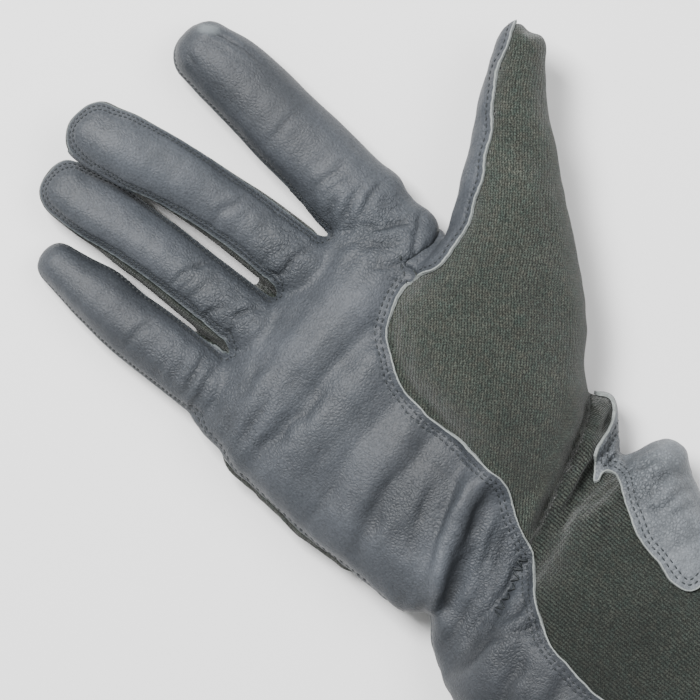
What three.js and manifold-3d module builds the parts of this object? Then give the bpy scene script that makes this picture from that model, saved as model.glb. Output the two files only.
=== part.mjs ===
// A flyer's glove for the right hand, lying on its back with the palm up and the fingers spread.
// A leather palm with four finger fronts, a leather thumb front and a leather wrist patch are sewn
// over a knit thumb and a knit back, which runs from the fingertips to the end of the long cuff.
// Millimetres. X points to the thumb side, Y to the fingertips and Z up, out of the palm. The
// origin is on the surface that the glove lies on, under the middle of the hand.
import * as THREE from "three";
import { mergeVertices } from "three/addons/utils/BufferGeometryUtils.js";
import Module from "manifold-3d";

// Hand and cuff
const palmLength = 118; // from the elastic at the wrist to the webs between the fingers
const palmWidth = 104;
const palmThickness = 34;
const originShare = 0.56; // the origin's place on the palm, from the wrist to the webs
const cuffLength = 110; // from the elastic at the wrist to the hem
const cuffWidth = 108;
const cuffThickness = 44;
const pressedFlat = 3; // how much the hand and cuff are flattened where they rest

// Fingers, each measured from the web to its tip
const indexLength = 78.5;
const indexWidth = 27;
const indexThickness = 23;
const middleLength = 88.5;
const middleWidth = 25;
const middleThickness = 22;
const ringLength = 83.5;
const ringWidth = 23;
const ringThickness = 21;
const littleLength = 68.5;
const littleWidth = 22;
const littleThickness = 19;
const limbPressedFlat = 1.5;

// Thumb
const thumbAngle = 36; // degrees from X, in the plane of the palm
const thumbRootLength = 92; // from the heel of the hand to the web
const thumbLength = 72; // from the web to the tip
const thumbWidth = 40; // at the web
const thumbThickness = 30;

// Walls and seams
const leatherWall = 1.4;
const knitWall = 1.2;
const leatherStep = 0.6; // how far the leather stands out over the knit
const seamGap = 0.3;
const seamHeightLittleSide = 15; // height of the palm leather's edge on the little finger's side
const seamHeightThumbSide = 8; // and on the index finger's side
const gussetHeight = 10; // height of the seam under the root of the thumb
const patchHeight = 5; // height of the wrist patch's hidden edge
const hemOverrun = 6; // how far the hollow is cut past the hem

const wristY = -originShare * palmLength;
const reach = palmWidth + thumbLength + thumbRootLength; // farther than any part of the glove
const HAND_SIDES = { outside: 26, hollow: 18 };
const FINGER_SIDES = { outside: 12, hollow: 10 };
const THUMB_SIDES = { outside: 18, hollow: 12 };
const TIP_STEPS = 3;

const wasm = await Module();
wasm.setup();

// A place in plan: across in half palm widths, along in palm lengths above the wrist or, where it
// is negative, in cuff lengths below it.
function plan(across, along) {
  return new THREE.Vector2(
    (across * palmWidth) / 2,
    wristY + along * (along < 0 ? cuffLength : palmLength),
  );
}

// Folds and creases in the upper side, from one place in plan to another: rise is the height of
// the ridge, or the depth of the valley where it is negative, as a share of the palm's thickness,
// and spread is its half width as a share of the palm's width.
const folds = [
  { name: "finger base valley", from: [-0.9, 0.935], to: [0.4, 0.955], rise: -0.04, spread: 0.045 },
  { name: "knuckle pad", from: [-0.9, 0.865], to: [0.4, 0.815], rise: 0.035, spread: 0.055 },
  { name: "upper palm crease", from: [-0.97, 0.765], to: [0.25, 0.745], rise: -0.05, spread: 0.032 },
  { name: "middle palm ridge", from: [-0.97, 0.67], to: [0.1, 0.68], rise: 0.03, spread: 0.05 },
  { name: "middle palm crease", from: [-0.97, 0.575], to: [0.0, 0.57], rise: -0.03, spread: 0.04 },
  { name: "lower palm ridge", from: [-0.9, 0.46], to: [0.0, 0.49], rise: 0.025, spread: 0.045 },
  { name: "lower palm crease", from: [-0.9, 0.37], to: [0.0, 0.43], rise: -0.025, spread: 0.035 },
  { name: "heel crease", from: [-0.82, 0.19], to: [-0.05, 0.32], rise: -0.045, spread: 0.04 },
  { name: "heel fold", from: [-0.92, 0.13], to: [-0.05, 0.25], rise: 0.1, spread: 0.045 },
  { name: "hollow under the heel", from: [-0.75, 0.08], to: [-0.1, 0.175], rise: -0.08, spread: 0.05 },
  { name: "elastic gather", from: [-1.0, -0.02], to: [0.5, 0.01], rise: -0.06, spread: 0.035 },
  { name: "cuff ridge", from: [-1.15, -0.11], to: [-0.55, -0.07], rise: 0.05, spread: 0.035 },
  { name: "cuff valley", from: [-1.2, -0.19], to: [-0.5, -0.12], rise: -0.04, spread: 0.03 },
  { name: "patch hump", from: [0.55, -0.06], to: [0.9, -0.11], rise: 0.06, spread: 0.04 },
];

function foldHeight(x, y) {
  const place = new THREE.Vector2(x, y);
  let height = 0;
  for (const fold of folds) {
    const start = plan(...fold.from);
    const run = plan(...fold.to).sub(start);
    const share = THREE.MathUtils.clamp(place.clone().sub(start).dot(run) / run.lengthSq(), 0, 1);
    const off = place.distanceTo(start.clone().addScaledVector(run, share));
    height += fold.rise * palmThickness * Math.exp(-((off / (fold.spread * palmWidth)) ** 2));
  }
  return height;
}

// A closed solid from rings of equally many points, capped flat at both ends.
function skin(rings) {
  const sides = rings[0].length;
  const positions = rings.flat().flatMap((p) => [p.x, p.y, p.z]);
  const faces = [];
  for (let r = 0; r + 1 < rings.length; r++) {
    for (let i = 0; i < sides; i++) {
      const j = (i + 1) % sides;
      const [a, b] = [r * sides + i, r * sides + j];
      const [c, d] = [a + sides, b + sides];
      faces.push(a, b, d, a, d, c);
    }
  }
  for (const [ring, turned] of [[0, true], [rings.length - 1, false]]) {
    const corners = rings[ring];
    const normal = corners[0].clone().set(0, 0, 0);
    corners.forEach((p, i) => normal.add(p.clone().cross(corners[(i + 1) % sides])));
    const [u, v] = planeAxes(normal.normalize());
    const flat = corners.map((p) => new THREE.Vector2(p.dot(u), p.dot(v)));
    for (const [a, b, c] of THREE.ShapeUtils.triangulateShape(flat, [])) {
      const start = ring * sides;
      faces.push(start + a, start + (turned ? c : b), start + (turned ? b : c));
    }
  }
  const geometry = new THREE.BufferGeometry();
  geometry.setAttribute("position", new THREE.Float32BufferAttribute(positions, 3));
  geometry.setIndex(faces);
  return solid(geometry);
}

function planeAxes(normal) {
  const helper = Math.abs(normal.z) < 0.9 ? new THREE.Vector3(0, 0, 1) : new THREE.Vector3(1, 0, 0);
  const u = helper.cross(normal).normalize();
  return [u, normal.clone().cross(u)];
}

// A manifold solid from a closed geometry, turned to face outwards.
function solid(geometry) {
  const bare = new THREE.BufferGeometry();
  bare.setAttribute("position", geometry.getAttribute("position"));
  bare.setIndex(geometry.getIndex());
  const merged = mergeVertices(bare, 1e-4);
  const vertProperties = new Float32Array(merged.getAttribute("position").array);
  const triVerts = new Uint32Array(merged.getIndex().array);
  const made = new wasm.Manifold(new wasm.Mesh({ numProp: 3, vertProperties, triVerts }));
  if (made.volume() > 0) return made;
  return new wasm.Manifold(
    new wasm.Mesh({ numProp: 3, vertProperties, triVerts: triVerts.slice().reverse() }),
  );
}

function union(solids) {
  return solids.reduce((whole, one) => whole.add(one));
}

// One cross-section of a soft tube: a rounded outline between two sides, an underside and a top,
// drawn in by inset all round and pressed flat where it would reach below the surface.
function sectionRing({ centre, sideways, half, low, high, sides, squareness, inset }) {
  const middle = (low + high) / 2;
  const halfWidth = half - inset;
  const halfHeight = (high - low) / 2 - inset;
  const count = inset > 0 ? sides.hollow : sides.outside;
  const ring = [];
  for (let i = 0; i < count; i++) {
    const turn = (2 * Math.PI * i) / count;
    const [c, s] = [Math.cos(turn), Math.sin(turn)];
    const out = Math.sign(c) * Math.abs(c) ** (2 / squareness) * halfWidth;
    const up = Math.sign(s) * Math.abs(s) ** (2 / squareness) * halfHeight;
    const point = centre.clone().addScaledVector(sideways, out);
    point.z = middle + up;
    if (s > 0) point.z += foldHeight(point.x, point.y) * s;
    point.z = Math.max(point.z, Math.max(inset, 0));
    ring.push(point);
  }
  return ring;
}

// Sections of the hand. left and right are in half palm widths, top in palm thicknesses.
const handRows = [
  { along: 0.0, left: -1.08, right: 0.73, top: 0.87 },
  { along: 0.035, left: -1.035, right: 0.78, top: 0.86 },
  { along: 0.068, left: -0.99, right: 0.84, top: 0.87 },
  { along: 0.1, left: -0.935, right: 0.885, top: 0.9 },
  { along: 0.13, left: -0.91, right: 0.89, top: 0.94 },
  { along: 0.16, left: -0.945, right: 0.86, top: 0.98 },
  { along: 0.195, left: -0.967, right: 0.85, top: 1.0 },
  { along: 0.235, left: -0.97, right: 0.85, top: 1.0 },
  { along: 0.32, left: -0.965, right: 0.86, top: 0.97 },
  { along: 0.43, left: -0.975, right: 0.875, top: 0.93 },
  { along: 0.49, left: -0.98, right: 0.885, top: 0.92 },
  { along: 0.55, left: -0.985, right: 0.9, top: 0.91 },
  { along: 0.65, left: -0.972, right: 0.945, top: 0.91 },
  { along: 0.74, left: -0.958, right: 1.0, top: 0.89 },
  { along: 0.775, left: -0.962, right: 1.03, top: 0.88 },
  { along: 0.815, left: -0.942, right: 1.058, top: 0.87 },
  { along: 0.86, left: -0.906, right: 1.056, top: 0.85 },
  { along: 0.905, left: -0.906, right: 1.046, top: 0.8 },
  { along: 0.945, left: -0.897, right: 1.09, top: 0.71 },
  { along: 0.98, left: -0.87, right: 1.09, top: 0.6 },
  { along: 1.005, left: -0.82, right: 1.04, top: 0.44 },
];

// Sections of the cuff. left and right are in half cuff widths, top in cuff thicknesses.
const cuffRows = [
  { along: -1.0, left: -1.296, right: 0.778, top: 1.0 },
  { along: -0.76, left: -1.278, right: 0.74, top: 0.99 },
  { along: -0.58, left: -1.265, right: 0.718, top: 0.98 },
  { along: -0.45, left: -1.25, right: 0.707, top: 0.97 },
  { along: -0.36, left: -1.237, right: 0.715, top: 0.97 },
  { along: -0.29, left: -1.222, right: 0.737, top: 0.97 },
  { along: -0.235, left: -1.205, right: 0.785, top: 0.97 },
  { along: -0.18, left: -1.182, right: 0.86, top: 0.96 },
  { along: -0.13, left: -1.155, right: 0.92, top: 0.94 },
  { along: -0.09, left: -1.13, right: 0.905, top: 0.9 },
  { along: -0.055, left: -1.1, right: 0.815, top: 0.83 },
  { along: -0.026, left: -1.07, right: 0.69, top: 0.73 },
];

function handHull(inset, overrun) {
  const across = new THREE.Vector3(1, 0, 0);
  const table = [
    ...cuffRows.map((row) => ({ ...row, width: cuffWidth, thickness: cuffThickness })),
    ...handRows.map((row) => ({ ...row, width: palmWidth, thickness: palmThickness })),
  ];
  const rings = table.map((row, i) => {
    const left = (row.left * row.width) / 2;
    const right = (row.right * row.width) / 2;
    const atHem = i === 0;
    const atWebs = i === table.length - 1;
    const shift = atHem ? -overrun : atWebs ? -inset : 0;
    return sectionRing({
      centre: new THREE.Vector3((left + right) / 2, plan(0, row.along).y + shift, 0),
      sideways: across,
      half: (right - left) / 2,
      low: -pressedFlat,
      high: row.top * row.thickness,
      sides: HAND_SIDES,
      squareness: 2.4,
      inset,
    });
  });
  return skin(rings);
}

// Sections of the fingers and the thumb. along is a share of the length from the web, or of the
// root inside the hand where it is negative; side and width are the middle's shift and the width
// in limb widths; lift and top are the heights of the underside and the upper side in limb
// thicknesses; edgeLittle and edgeThumb are the heights of the leather's two edges, as shares of
// the height of the upper side.
const indexRows = [
  { along: -1.0, side: -0.03, width: 0.88, lift: 0.0, top: 0.9, edgeLittle: 0.55, edgeThumb: 0.34 },
  { along: -0.3, side: 0.0, width: 1.02, lift: 0.0, top: 1.04, edgeLittle: 0.62, edgeThumb: 0.33 },
  { along: 0.08, side: 0.03, width: 1.04, lift: 0.0, top: 1.06, edgeLittle: 0.6, edgeThumb: 0.3 },
  { along: 0.25, side: 0.095, width: 1.0, lift: 0.0, top: 1.02, edgeLittle: 0.56, edgeThumb: 0.28 },
  { along: 0.42, side: 0.13, width: 0.975, lift: 0.0, top: 1.02, edgeLittle: 0.54, edgeThumb: 0.26 },
  { along: 0.6, side: 0.185, width: 0.95, lift: 0.01, top: 1.0, edgeLittle: 0.52, edgeThumb: 0.26 },
  { along: 0.76, side: 0.21, width: 0.9, lift: 0.02, top: 0.98, edgeLittle: 0.5, edgeThumb: 0.28 },
  { along: 0.885, side: 0.2, width: 0.79, lift: 0.03, top: 0.93, edgeLittle: 0.48, edgeThumb: 0.32 },
];
const middleRows = [
  { along: -1.0, side: 0.12, width: 0.93, lift: 0.0, top: 0.92, edgeLittle: 0.7, edgeThumb: 0.55 },
  { along: -0.25, side: 0.1, width: 0.97, lift: 0.0, top: 1.08, edgeLittle: 0.74, edgeThumb: 0.6 },
  { along: 0.08, side: 0.085, width: 0.97, lift: 0.02, top: 1.1, edgeLittle: 0.78, edgeThumb: 0.62 },
  { along: 0.25, side: 0.065, width: 0.94, lift: 0.08, top: 1.12, edgeLittle: 0.8, edgeThumb: 0.62 },
  { along: 0.42, side: 0.005, width: 0.9, lift: 0.2, top: 1.2, edgeLittle: 0.76, edgeThumb: 0.6 },
  { along: 0.56, side: -0.055, width: 0.9, lift: 0.34, top: 1.3, edgeLittle: 0.68, edgeThumb: 0.6 },
  { along: 0.7, side: -0.15, width: 0.93, lift: 0.46, top: 1.38, edgeLittle: 0.66, edgeThumb: 0.62 },
  { along: 0.81, side: -0.22, width: 0.93, lift: 0.52, top: 1.4, edgeLittle: 0.66, edgeThumb: 0.62 },
  { along: 0.9, side: -0.29, width: 0.86, lift: 0.54, top: 1.34, edgeLittle: 0.66, edgeThumb: 0.62 },
];
const ringRows = [
  { along: -1.0, side: 0.04, width: 0.96, lift: 0.0, top: 0.92, edgeLittle: 0.7, edgeThumb: 0.55 },
  { along: -0.25, side: 0.035, width: 0.99, lift: 0.0, top: 1.08, edgeLittle: 0.76, edgeThumb: 0.58 },
  { along: 0.08, side: 0.03, width: 1.0, lift: 0.0, top: 1.07, edgeLittle: 0.78, edgeThumb: 0.58 },
  { along: 0.28, side: 0.0, width: 0.985, lift: 0.0, top: 1.04, edgeLittle: 0.78, edgeThumb: 0.56 },
  { along: 0.45, side: -0.003, width: 0.955, lift: 0.0, top: 1.01, edgeLittle: 0.76, edgeThumb: 0.54 },
  { along: 0.6, side: -0.045, width: 0.945, lift: 0.0, top: 0.95, edgeLittle: 0.73, edgeThumb: 0.52 },
  { along: 0.75, side: -0.12, width: 0.895, lift: 0.0, top: 0.88, edgeLittle: 0.68, edgeThumb: 0.5 },
  { along: 0.89, side: -0.2, width: 0.78, lift: 0.0, top: 0.82, edgeLittle: 0.62, edgeThumb: 0.5 },
];
const littleRows = [
  { along: -1.0, side: 0.03, width: 0.94, lift: 0.0, top: 0.92, edgeLittle: 0.55, edgeThumb: 0.52 },
  { along: -0.2, side: 0.03, width: 0.98, lift: 0.0, top: 1.08, edgeLittle: 0.52, edgeThumb: 0.58 },
  { along: 0.12, side: 0.026, width: 0.99, lift: 0.0, top: 1.06, edgeLittle: 0.5, edgeThumb: 0.56 },
  { along: 0.3, side: 0.01, width: 1.0, lift: 0.0, top: 1.02, edgeLittle: 0.48, edgeThumb: 0.52 },
  { along: 0.5, side: -0.007, width: 0.97, lift: 0.0, top: 0.98, edgeLittle: 0.47, edgeThumb: 0.5 },
  { along: 0.66, side: -0.002, width: 0.9, lift: 0.0, top: 0.92, edgeLittle: 0.47, edgeThumb: 0.48 },
  { along: 0.8, side: -0.027, width: 0.73, lift: 0.0, top: 0.84, edgeLittle: 0.47, edgeThumb: 0.48 },
  { along: 0.9, side: -0.035, width: 0.63, lift: 0.0, top: 0.77, edgeLittle: 0.47, edgeThumb: 0.48 },
];
const thumbRows = [
  { along: -1.0, side: -0.04, width: 0.525, lift: 0.0, top: 0.93 },
  { along: -0.913, side: -0.025, width: 0.8, lift: 0.0, top: 1.1 },
  { along: -0.804, side: 0.03, width: 0.96, lift: 0.0, top: 1.23 },
  { along: -0.696, side: 0.056, width: 1.11, lift: 0.0, top: 1.33 },
  { along: -0.587, side: -0.012, width: 1.375, lift: 0.0, top: 1.4 },
  { along: -0.478, side: -0.112, width: 1.625, lift: 0.03, top: 1.43 },
  { along: -0.37, side: -0.18, width: 1.69, lift: 0.08, top: 1.43 },
  { along: -0.261, side: -0.187, width: 1.625, lift: 0.16, top: 1.4 },
  { along: -0.152, side: -0.122, width: 1.455, lift: 0.25, top: 1.37 },
  { along: -0.043, side: -0.056, width: 1.19, lift: 0.33, top: 1.33 },
  { along: 0.083, side: -0.034, width: 1.01, lift: 0.38, top: 1.31 },
  { along: 0.222, side: -0.056, width: 0.888, lift: 0.42, top: 1.3 },
  { along: 0.361, side: -0.066, width: 0.792, lift: 0.45, top: 1.28 },
  { along: 0.5, side: -0.081, width: 0.688, lift: 0.47, top: 1.26 },
  { along: 0.639, side: -0.098, width: 0.595, lift: 0.48, top: 1.23 },
  { along: 0.778, side: -0.084, width: 0.508, lift: 0.5, top: 1.19 },
  { along: 0.847, side: -0.072, width: 0.465, lift: 0.5, top: 1.16 },
];

// The fingers and the thumb. across and up place the middle of the web end in plan, and angle is
// the direction of the limb in degrees from X.
const fingerBase = { up: 1, angle: 90, sides: FINGER_SIDES, squareness: 2.2 };
const index = {
  ...fingerBase,
  rows: indexRows,
  across: 0.825,
  length: indexLength,
  root: 0.22 * indexLength,
  width: indexWidth,
  thickness: indexThickness,
};
const middle = {
  ...fingerBase,
  rows: middleRows,
  across: 0.24,
  length: middleLength,
  root: 0.2 * middleLength,
  width: middleWidth,
  thickness: middleThickness,
};
const ring = {
  ...fingerBase,
  rows: ringRows,
  across: -0.215,
  length: ringLength,
  root: 0.2 * ringLength,
  width: ringWidth,
  thickness: ringThickness,
};
const little = {
  ...fingerBase,
  rows: littleRows,
  across: -0.67,
  length: littleLength,
  root: 0.22 * littleLength,
  width: littleWidth,
  thickness: littleThickness,
};
const fingers = [index, middle, ring, little];
const thumb = {
  rows: thumbRows,
  across: 1.26,
  up: 0.593,
  angle: thumbAngle,
  sides: THUMB_SIDES,
  squareness: 2.15,
  length: thumbLength,
  root: thumbRootLength,
  width: thumbWidth,
  thickness: thumbThickness,
};

function directions(limb) {
  const turn = THREE.MathUtils.degToRad(limb.angle);
  const forward = new THREE.Vector3(Math.cos(turn), Math.sin(turn), 0);
  const sideways = new THREE.Vector3(Math.sin(turn), -Math.cos(turn), 0);
  return { forward, sideways };
}

// A limb's sections in millimetres, with its rounded tip added as quarter of an ellipse.
function limbSections(limb, inset) {
  const sections = limb.rows.map((row) => ({
    at: row.along * (row.along < 0 ? limb.root : limb.length),
    side: row.side * limb.width,
    half: (row.width * limb.width) / 2,
    low: row.lift * limb.thickness - limbPressedFlat * Math.max(1 - row.lift * 8, 0),
    high: row.top * limb.thickness,
    edgeLittle: row.edgeLittle * row.top * limb.thickness,
    edgeThumb: row.edgeThumb * row.top * limb.thickness,
  }));
  const last = sections[sections.length - 1];
  const roundLength = limb.length - last.at - inset;
  const centre = (last.low + last.high) / 2;
  for (let step = 1; step <= TIP_STEPS; step++) {
    const turn = (step / (TIP_STEPS + 0.35)) * (Math.PI / 2);
    const shrink = Math.cos(turn) ** 0.8;
    sections.push({
      ...last,
      at: last.at + roundLength * Math.sin(turn),
      half: inset + (last.half - inset) * shrink,
      low: centre - inset - (centre - last.low - inset) * shrink,
      high: centre + inset + (last.high - centre - inset) * shrink,
    });
  }
  return sections;
}

function limbPoint(limb, at, side, z) {
  const { forward, sideways } = directions(limb);
  const web = plan(limb.across, limb.up);
  const point = new THREE.Vector3(web.x, web.y, z);
  return point.addScaledVector(forward, at).addScaledVector(sideways, side);
}

function limbHull(limb, inset) {
  const { sideways } = directions(limb);
  return skin(
    limbSections(limb, inset).map((section) =>
      sectionRing({
        ...section,
        centre: limbPoint(limb, section.at, section.side, 0),
        sideways,
        sides: limb.sides,
        squareness: limb.squareness,
        inset,
      }),
    ),
  );
}

// The space above the leather's two edges along a finger, grown all round by grow.
function fingerFront(limb, grow) {
  const sections = limbSections(limb, 0);
  sections[0].at -= grow;
  sections[sections.length - 1].at += limb.width;
  return skin(
    sections.map(({ at, side, half, high, edgeLittle, edgeThumb }) => {
      const spread = half + limb.width / 4;
      const drop = ((edgeLittle - edgeThumb) * (spread - half)) / (2 * half);
      const top = high + limb.thickness;
      return [
        limbPoint(limb, at, side - spread, edgeLittle + drop - grow),
        limbPoint(limb, at, side + spread, edgeThumb - drop - grow),
        limbPoint(limb, at, side + spread, top),
        limbPoint(limb, at, side - spread, top),
      ];
    }),
  );
}

// Outlines in plan, as pairs of across and along, and one height for each end of X.
const palmEdge = [
  [-0.59, -1.2],
  [-0.567, -0.418],
  [-0.558, -0.336],
  [-0.538, -0.236],
  [-0.481, -0.154],
  [-0.365, -0.081],
  [-0.25, -0.027],
  [-0.135, 0.0],
  [-0.115, 0.052],
  [-0.077, 0.094],
  [0.0, 0.136],
  [0.077, 0.179],
  [0.067, 0.263],
  [0.096, 0.39],
  [0.083, 0.475],
  [0.096, 0.56],
  [0.154, 0.611],
  [0.212, 0.653],
  [0.308, 0.704],
  [0.423, 0.734],
  [0.577, 0.746],
  [0.721, 0.746],
  [0.692, 0.797],
  [0.904, 0.763],
  [1.01, 0.772],
  [1.07, 0.8],
  [1.16, 0.84],
  [1.4, 0.87],
  [1.4, 1.03],
  [-1.6, 1.03],
  [-1.6, -1.2],
];
const thumbLeatherEdge = [
  [0.74, 0.738],
  [0.81, 0.717],
  [1.0, 0.713],
  [1.154, 0.725],
  [1.385, 0.768],
  [1.577, 0.814],
  [1.769, 0.865],
  [1.904, 0.916],
  [2.02, 0.937],
  [2.154, 0.958],
  [2.27, 0.975],
  [2.5, 0.99],
  [2.5, 1.3],
  [0.6, 1.3],
  [0.69, 0.8],
];
const patchEdge = [
  [1.4, 0.17],
  [0.875, 0.153],
  [0.856, 0.102],
  [0.73, 0.068],
  [0.577, 0.043],
  [0.48, 0.013],
  [0.529, -0.018],
  [0.519, -0.058],
  [0.394, -0.117],
  [0.327, -0.199],
  [0.288, -0.29],
  [0.256, -0.363],
  [0.279, -0.404],
  [0.365, -0.427],
  [1.4, -0.454],
];
const thenarEdge = [
  [-0.385, 0.0],
  [0.0, 0.039],
  [0.288, 0.077],
  [0.577, 0.107],
  [0.808, 0.149],
  [0.95, 0.2],
  [0.95, 0.75],
  [-0.385, 0.75],
];

// A prism over a plan outline, from a sloping height upwards, grown all round by grow.
function planPrism(outline, heightLittleSide, heightThumbSide, grow) {
  const corners = outline.map((pair) => plan(...pair));
  const anticlockwise = THREE.ShapeUtils.area(corners) > 0;
  const path = anticlockwise ? corners : corners.reverse();
  const grown = path.map((corner, i) => {
    const before = path[(i + path.length - 1) % path.length];
    const after = path[(i + 1) % path.length];
    const into = corner.clone().sub(before).normalize();
    const out = after.clone().sub(corner).normalize();
    const push = new THREE.Vector2(into.y + out.y, -into.x - out.x).normalize();
    const stretch = 1 / Math.max(push.dot(new THREE.Vector2(into.y, -into.x)), 0.5);
    return corner.clone().addScaledVector(push, grow * stretch);
  });
  const slope = (heightThumbSide - heightLittleSide) / palmWidth;
  const middleHeight = (heightThumbSide + heightLittleSide) / 2;
  const low = grown.map((p) => new THREE.Vector3(p.x, p.y, middleHeight + slope * p.x - grow));
  const high = grown.map((p) => new THREE.Vector3(p.x, p.y, reach));
  return skin([low, high]);
}

// Everything above the seam under the root of the thumb, grown by grow.
function aboveGusset(grow) {
  const stations = [
    { at: -1.4 * thumbRootLength, height: gussetHeight },
    { at: -0.33 * thumbRootLength, height: gussetHeight },
    { at: -0.11 * thumbRootLength, height: gussetHeight / 2 },
    { at: 0.05 * thumbLength, height: -gussetHeight },
    { at: 2 * thumbLength, height: -gussetHeight },
  ];
  return skin(
    stations.map(({ at, height }) => [
      limbPoint(thumb, at, -reach, height - grow),
      limbPoint(thumb, at, reach, height - grow),
      limbPoint(thumb, at, reach, reach),
      limbPoint(thumb, at, -reach, reach),
    ]),
  );
}

// The whole glove as one solid, with every surface moved inwards by inset.
function wholeHull(inset, overrun) {
  const limbs = [...fingers, thumb].map((limb) => limbHull(limb, inset));
  return union([handHull(inset, overrun), ...limbs]);
}

function palmLeatherSpace(step, grow, overrun) {
  const inset = -step - grow;
  const hand = handHull(inset, overrun).add(limbHull(thumb, inset));
  const palm = planPrism(palmEdge, seamHeightLittleSide, seamHeightThumbSide, grow);
  const fronts = fingers.map((limb) => limbHull(limb, inset).intersect(fingerFront(limb, grow)));
  return union([hand.intersect(palm), ...fronts]);
}

function thumbLeatherSpace(step, grow) {
  const front = planPrism(thumbLeatherEdge, -gussetHeight, -gussetHeight, grow);
  return limbHull(thumb, -step - grow).intersect(front);
}

function patchSpace(step, grow) {
  const patch = planPrism(patchEdge, patchHeight, patchHeight, grow);
  return handHull(-step - grow, 0).intersect(patch);
}

function thumbKnitSpace(grow) {
  const thenar = planPrism(thenarEdge, gussetHeight, gussetHeight, grow);
  const grownHand = handHull(-grow, 0).intersect(thenar);
  return limbHull(thumb, -grow).add(grownHand).intersect(aboveGusset(grow));
}

const leatherHollow = wholeHull(leatherWall - leatherStep, hemOverrun);
const knitHollow = wholeHull(knitWall, hemOverrun);
const palmLeatherKeepOut = palmLeatherSpace(leatherStep, seamGap, hemOverrun);
const thumbLeatherKeepOut = thumbLeatherSpace(leatherStep, seamGap);
const patchKeepOut = patchSpace(leatherStep, seamGap);

const palmLeather = palmLeatherSpace(leatherStep, 0, 0).subtract(leatherHollow);
const thumbLeather = thumbLeatherSpace(leatherStep, 0)
  .subtract(leatherHollow)
  .subtract(palmLeatherKeepOut);
const cuffPatch = patchSpace(leatherStep, 0)
  .subtract(leatherHollow)
  .subtract(limbHull(thumb, -leatherStep - seamGap))
  .subtract(palmLeatherKeepOut);
const knit = wholeHull(0, 0)
  .subtract(knitHollow)
  .subtract(palmLeatherKeepOut)
  .subtract(thumbLeatherKeepOut)
  .subtract(patchKeepOut);
const thumbKnit = knit.intersect(thumbKnitSpace(0));
const backKnit = knit.subtract(thumbKnitSpace(seamGap));

const leatherGrey = new THREE.MeshStandardMaterial({
  color: "#7c8186",
  roughness: 0.6,
  metalness: 0,
});
const knitGreen = new THREE.MeshStandardMaterial({
  color: "#4c514d",
  roughness: 0.9,
  metalness: 0,
});

// A named mesh from the largest body of a solid; the crumbs that the cuts leave are dropped.
function mesh(name, made, material) {
  const bodies = made.decompose().sort((a, b) => b.volume() - a.volume());
  const { vertProperties, triVerts } = bodies[0].getMesh();
  const geometry = new THREE.BufferGeometry();
  geometry.setAttribute("position", new THREE.BufferAttribute(vertProperties, 3));
  geometry.setIndex(new THREE.BufferAttribute(triVerts, 1));
  const named = new THREE.Mesh(geometry, material);
  named.name = name;
  return named;
}

const glove = new THREE.Group();
glove.name = "flight_glove";
glove.add(mesh("palm_leather", palmLeather, leatherGrey));
glove.add(mesh("thumb_leather", thumbLeather, leatherGrey.clone()));
glove.add(mesh("cuff_patch", cuffPatch, leatherGrey.clone()));
glove.add(mesh("thumb_knit", thumbKnit, knitGreen));
glove.add(mesh("back_knit", backKnit, knitGreen.clone()));

export default glove;
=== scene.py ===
# %% [markdown]
# A flyer's glove, palm up: grey leather over dark ribbed knit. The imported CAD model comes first. It
# says where everything is, and every piece made here lies in the same frame, in metres. The glove
# is soft, so its looks are made in mesh code: one smooth skin, cut along its seams into panels.

# %% Load the frame
import functools
import math
import bmesh
import bpy
import numpy as np
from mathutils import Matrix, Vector
from mathutils.bvhtree import BVHTree
from mathutils.kdtree import KDTree


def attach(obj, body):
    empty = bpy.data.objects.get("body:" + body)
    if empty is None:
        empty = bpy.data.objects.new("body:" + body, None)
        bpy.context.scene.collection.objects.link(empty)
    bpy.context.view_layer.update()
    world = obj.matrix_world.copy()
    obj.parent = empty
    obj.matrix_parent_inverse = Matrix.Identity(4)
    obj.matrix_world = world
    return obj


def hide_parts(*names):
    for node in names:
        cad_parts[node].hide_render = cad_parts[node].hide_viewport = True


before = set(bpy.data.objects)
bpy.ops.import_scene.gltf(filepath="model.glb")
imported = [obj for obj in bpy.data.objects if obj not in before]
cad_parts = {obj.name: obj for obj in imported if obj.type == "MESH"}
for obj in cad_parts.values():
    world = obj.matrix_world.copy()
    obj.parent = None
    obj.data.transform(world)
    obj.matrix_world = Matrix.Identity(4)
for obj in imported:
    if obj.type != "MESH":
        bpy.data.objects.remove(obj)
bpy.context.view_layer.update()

MM = 0.001
print("nodes:", ", ".join(sorted(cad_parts)))

# %% [markdown]
# The camera looks straight down at the palm, rolled so that the fingers point to the upper left.
# A long lens keeps the fingers and the cuff at one scale. The view is 227.5 mm wide.

# %% Camera
VIEW_CENTRE = Vector((4.3, 22.7, 20)) * MM
VIEW_WIDTH = 227.5 * MM
CAMERA_HEIGHT = 1.5
SENSOR_WIDTH = 36
ROLL = -50


def place_object(name, data):
    """A new object in the scene, which holds the data."""
    made = bpy.data.objects.new(name, data)
    bpy.context.scene.collection.objects.link(made)
    return made


lens = bpy.data.cameras.new("camera")
lens.lens = SENSOR_WIDTH * CAMERA_HEIGHT / VIEW_WIDTH
lens.clip_end = 20
camera = place_object("camera", lens)
camera.location = VIEW_CENTRE + Vector((0, 0, CAMERA_HEIGHT))
camera.rotation_euler = (0, 0, math.radians(ROLL))
bpy.context.scene.camera = camera
print("lens", round(lens.lens, 1), "mm")

# %% [markdown]
# The skin starts from short tables of cross-sections, the same ones as in the CAD source. Each row
# of a limb gives its place along the limb from the web, its sideways shift, half its width, the
# heights of its underside and upper side, and the heights of the leather's edges on its two sides.

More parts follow.
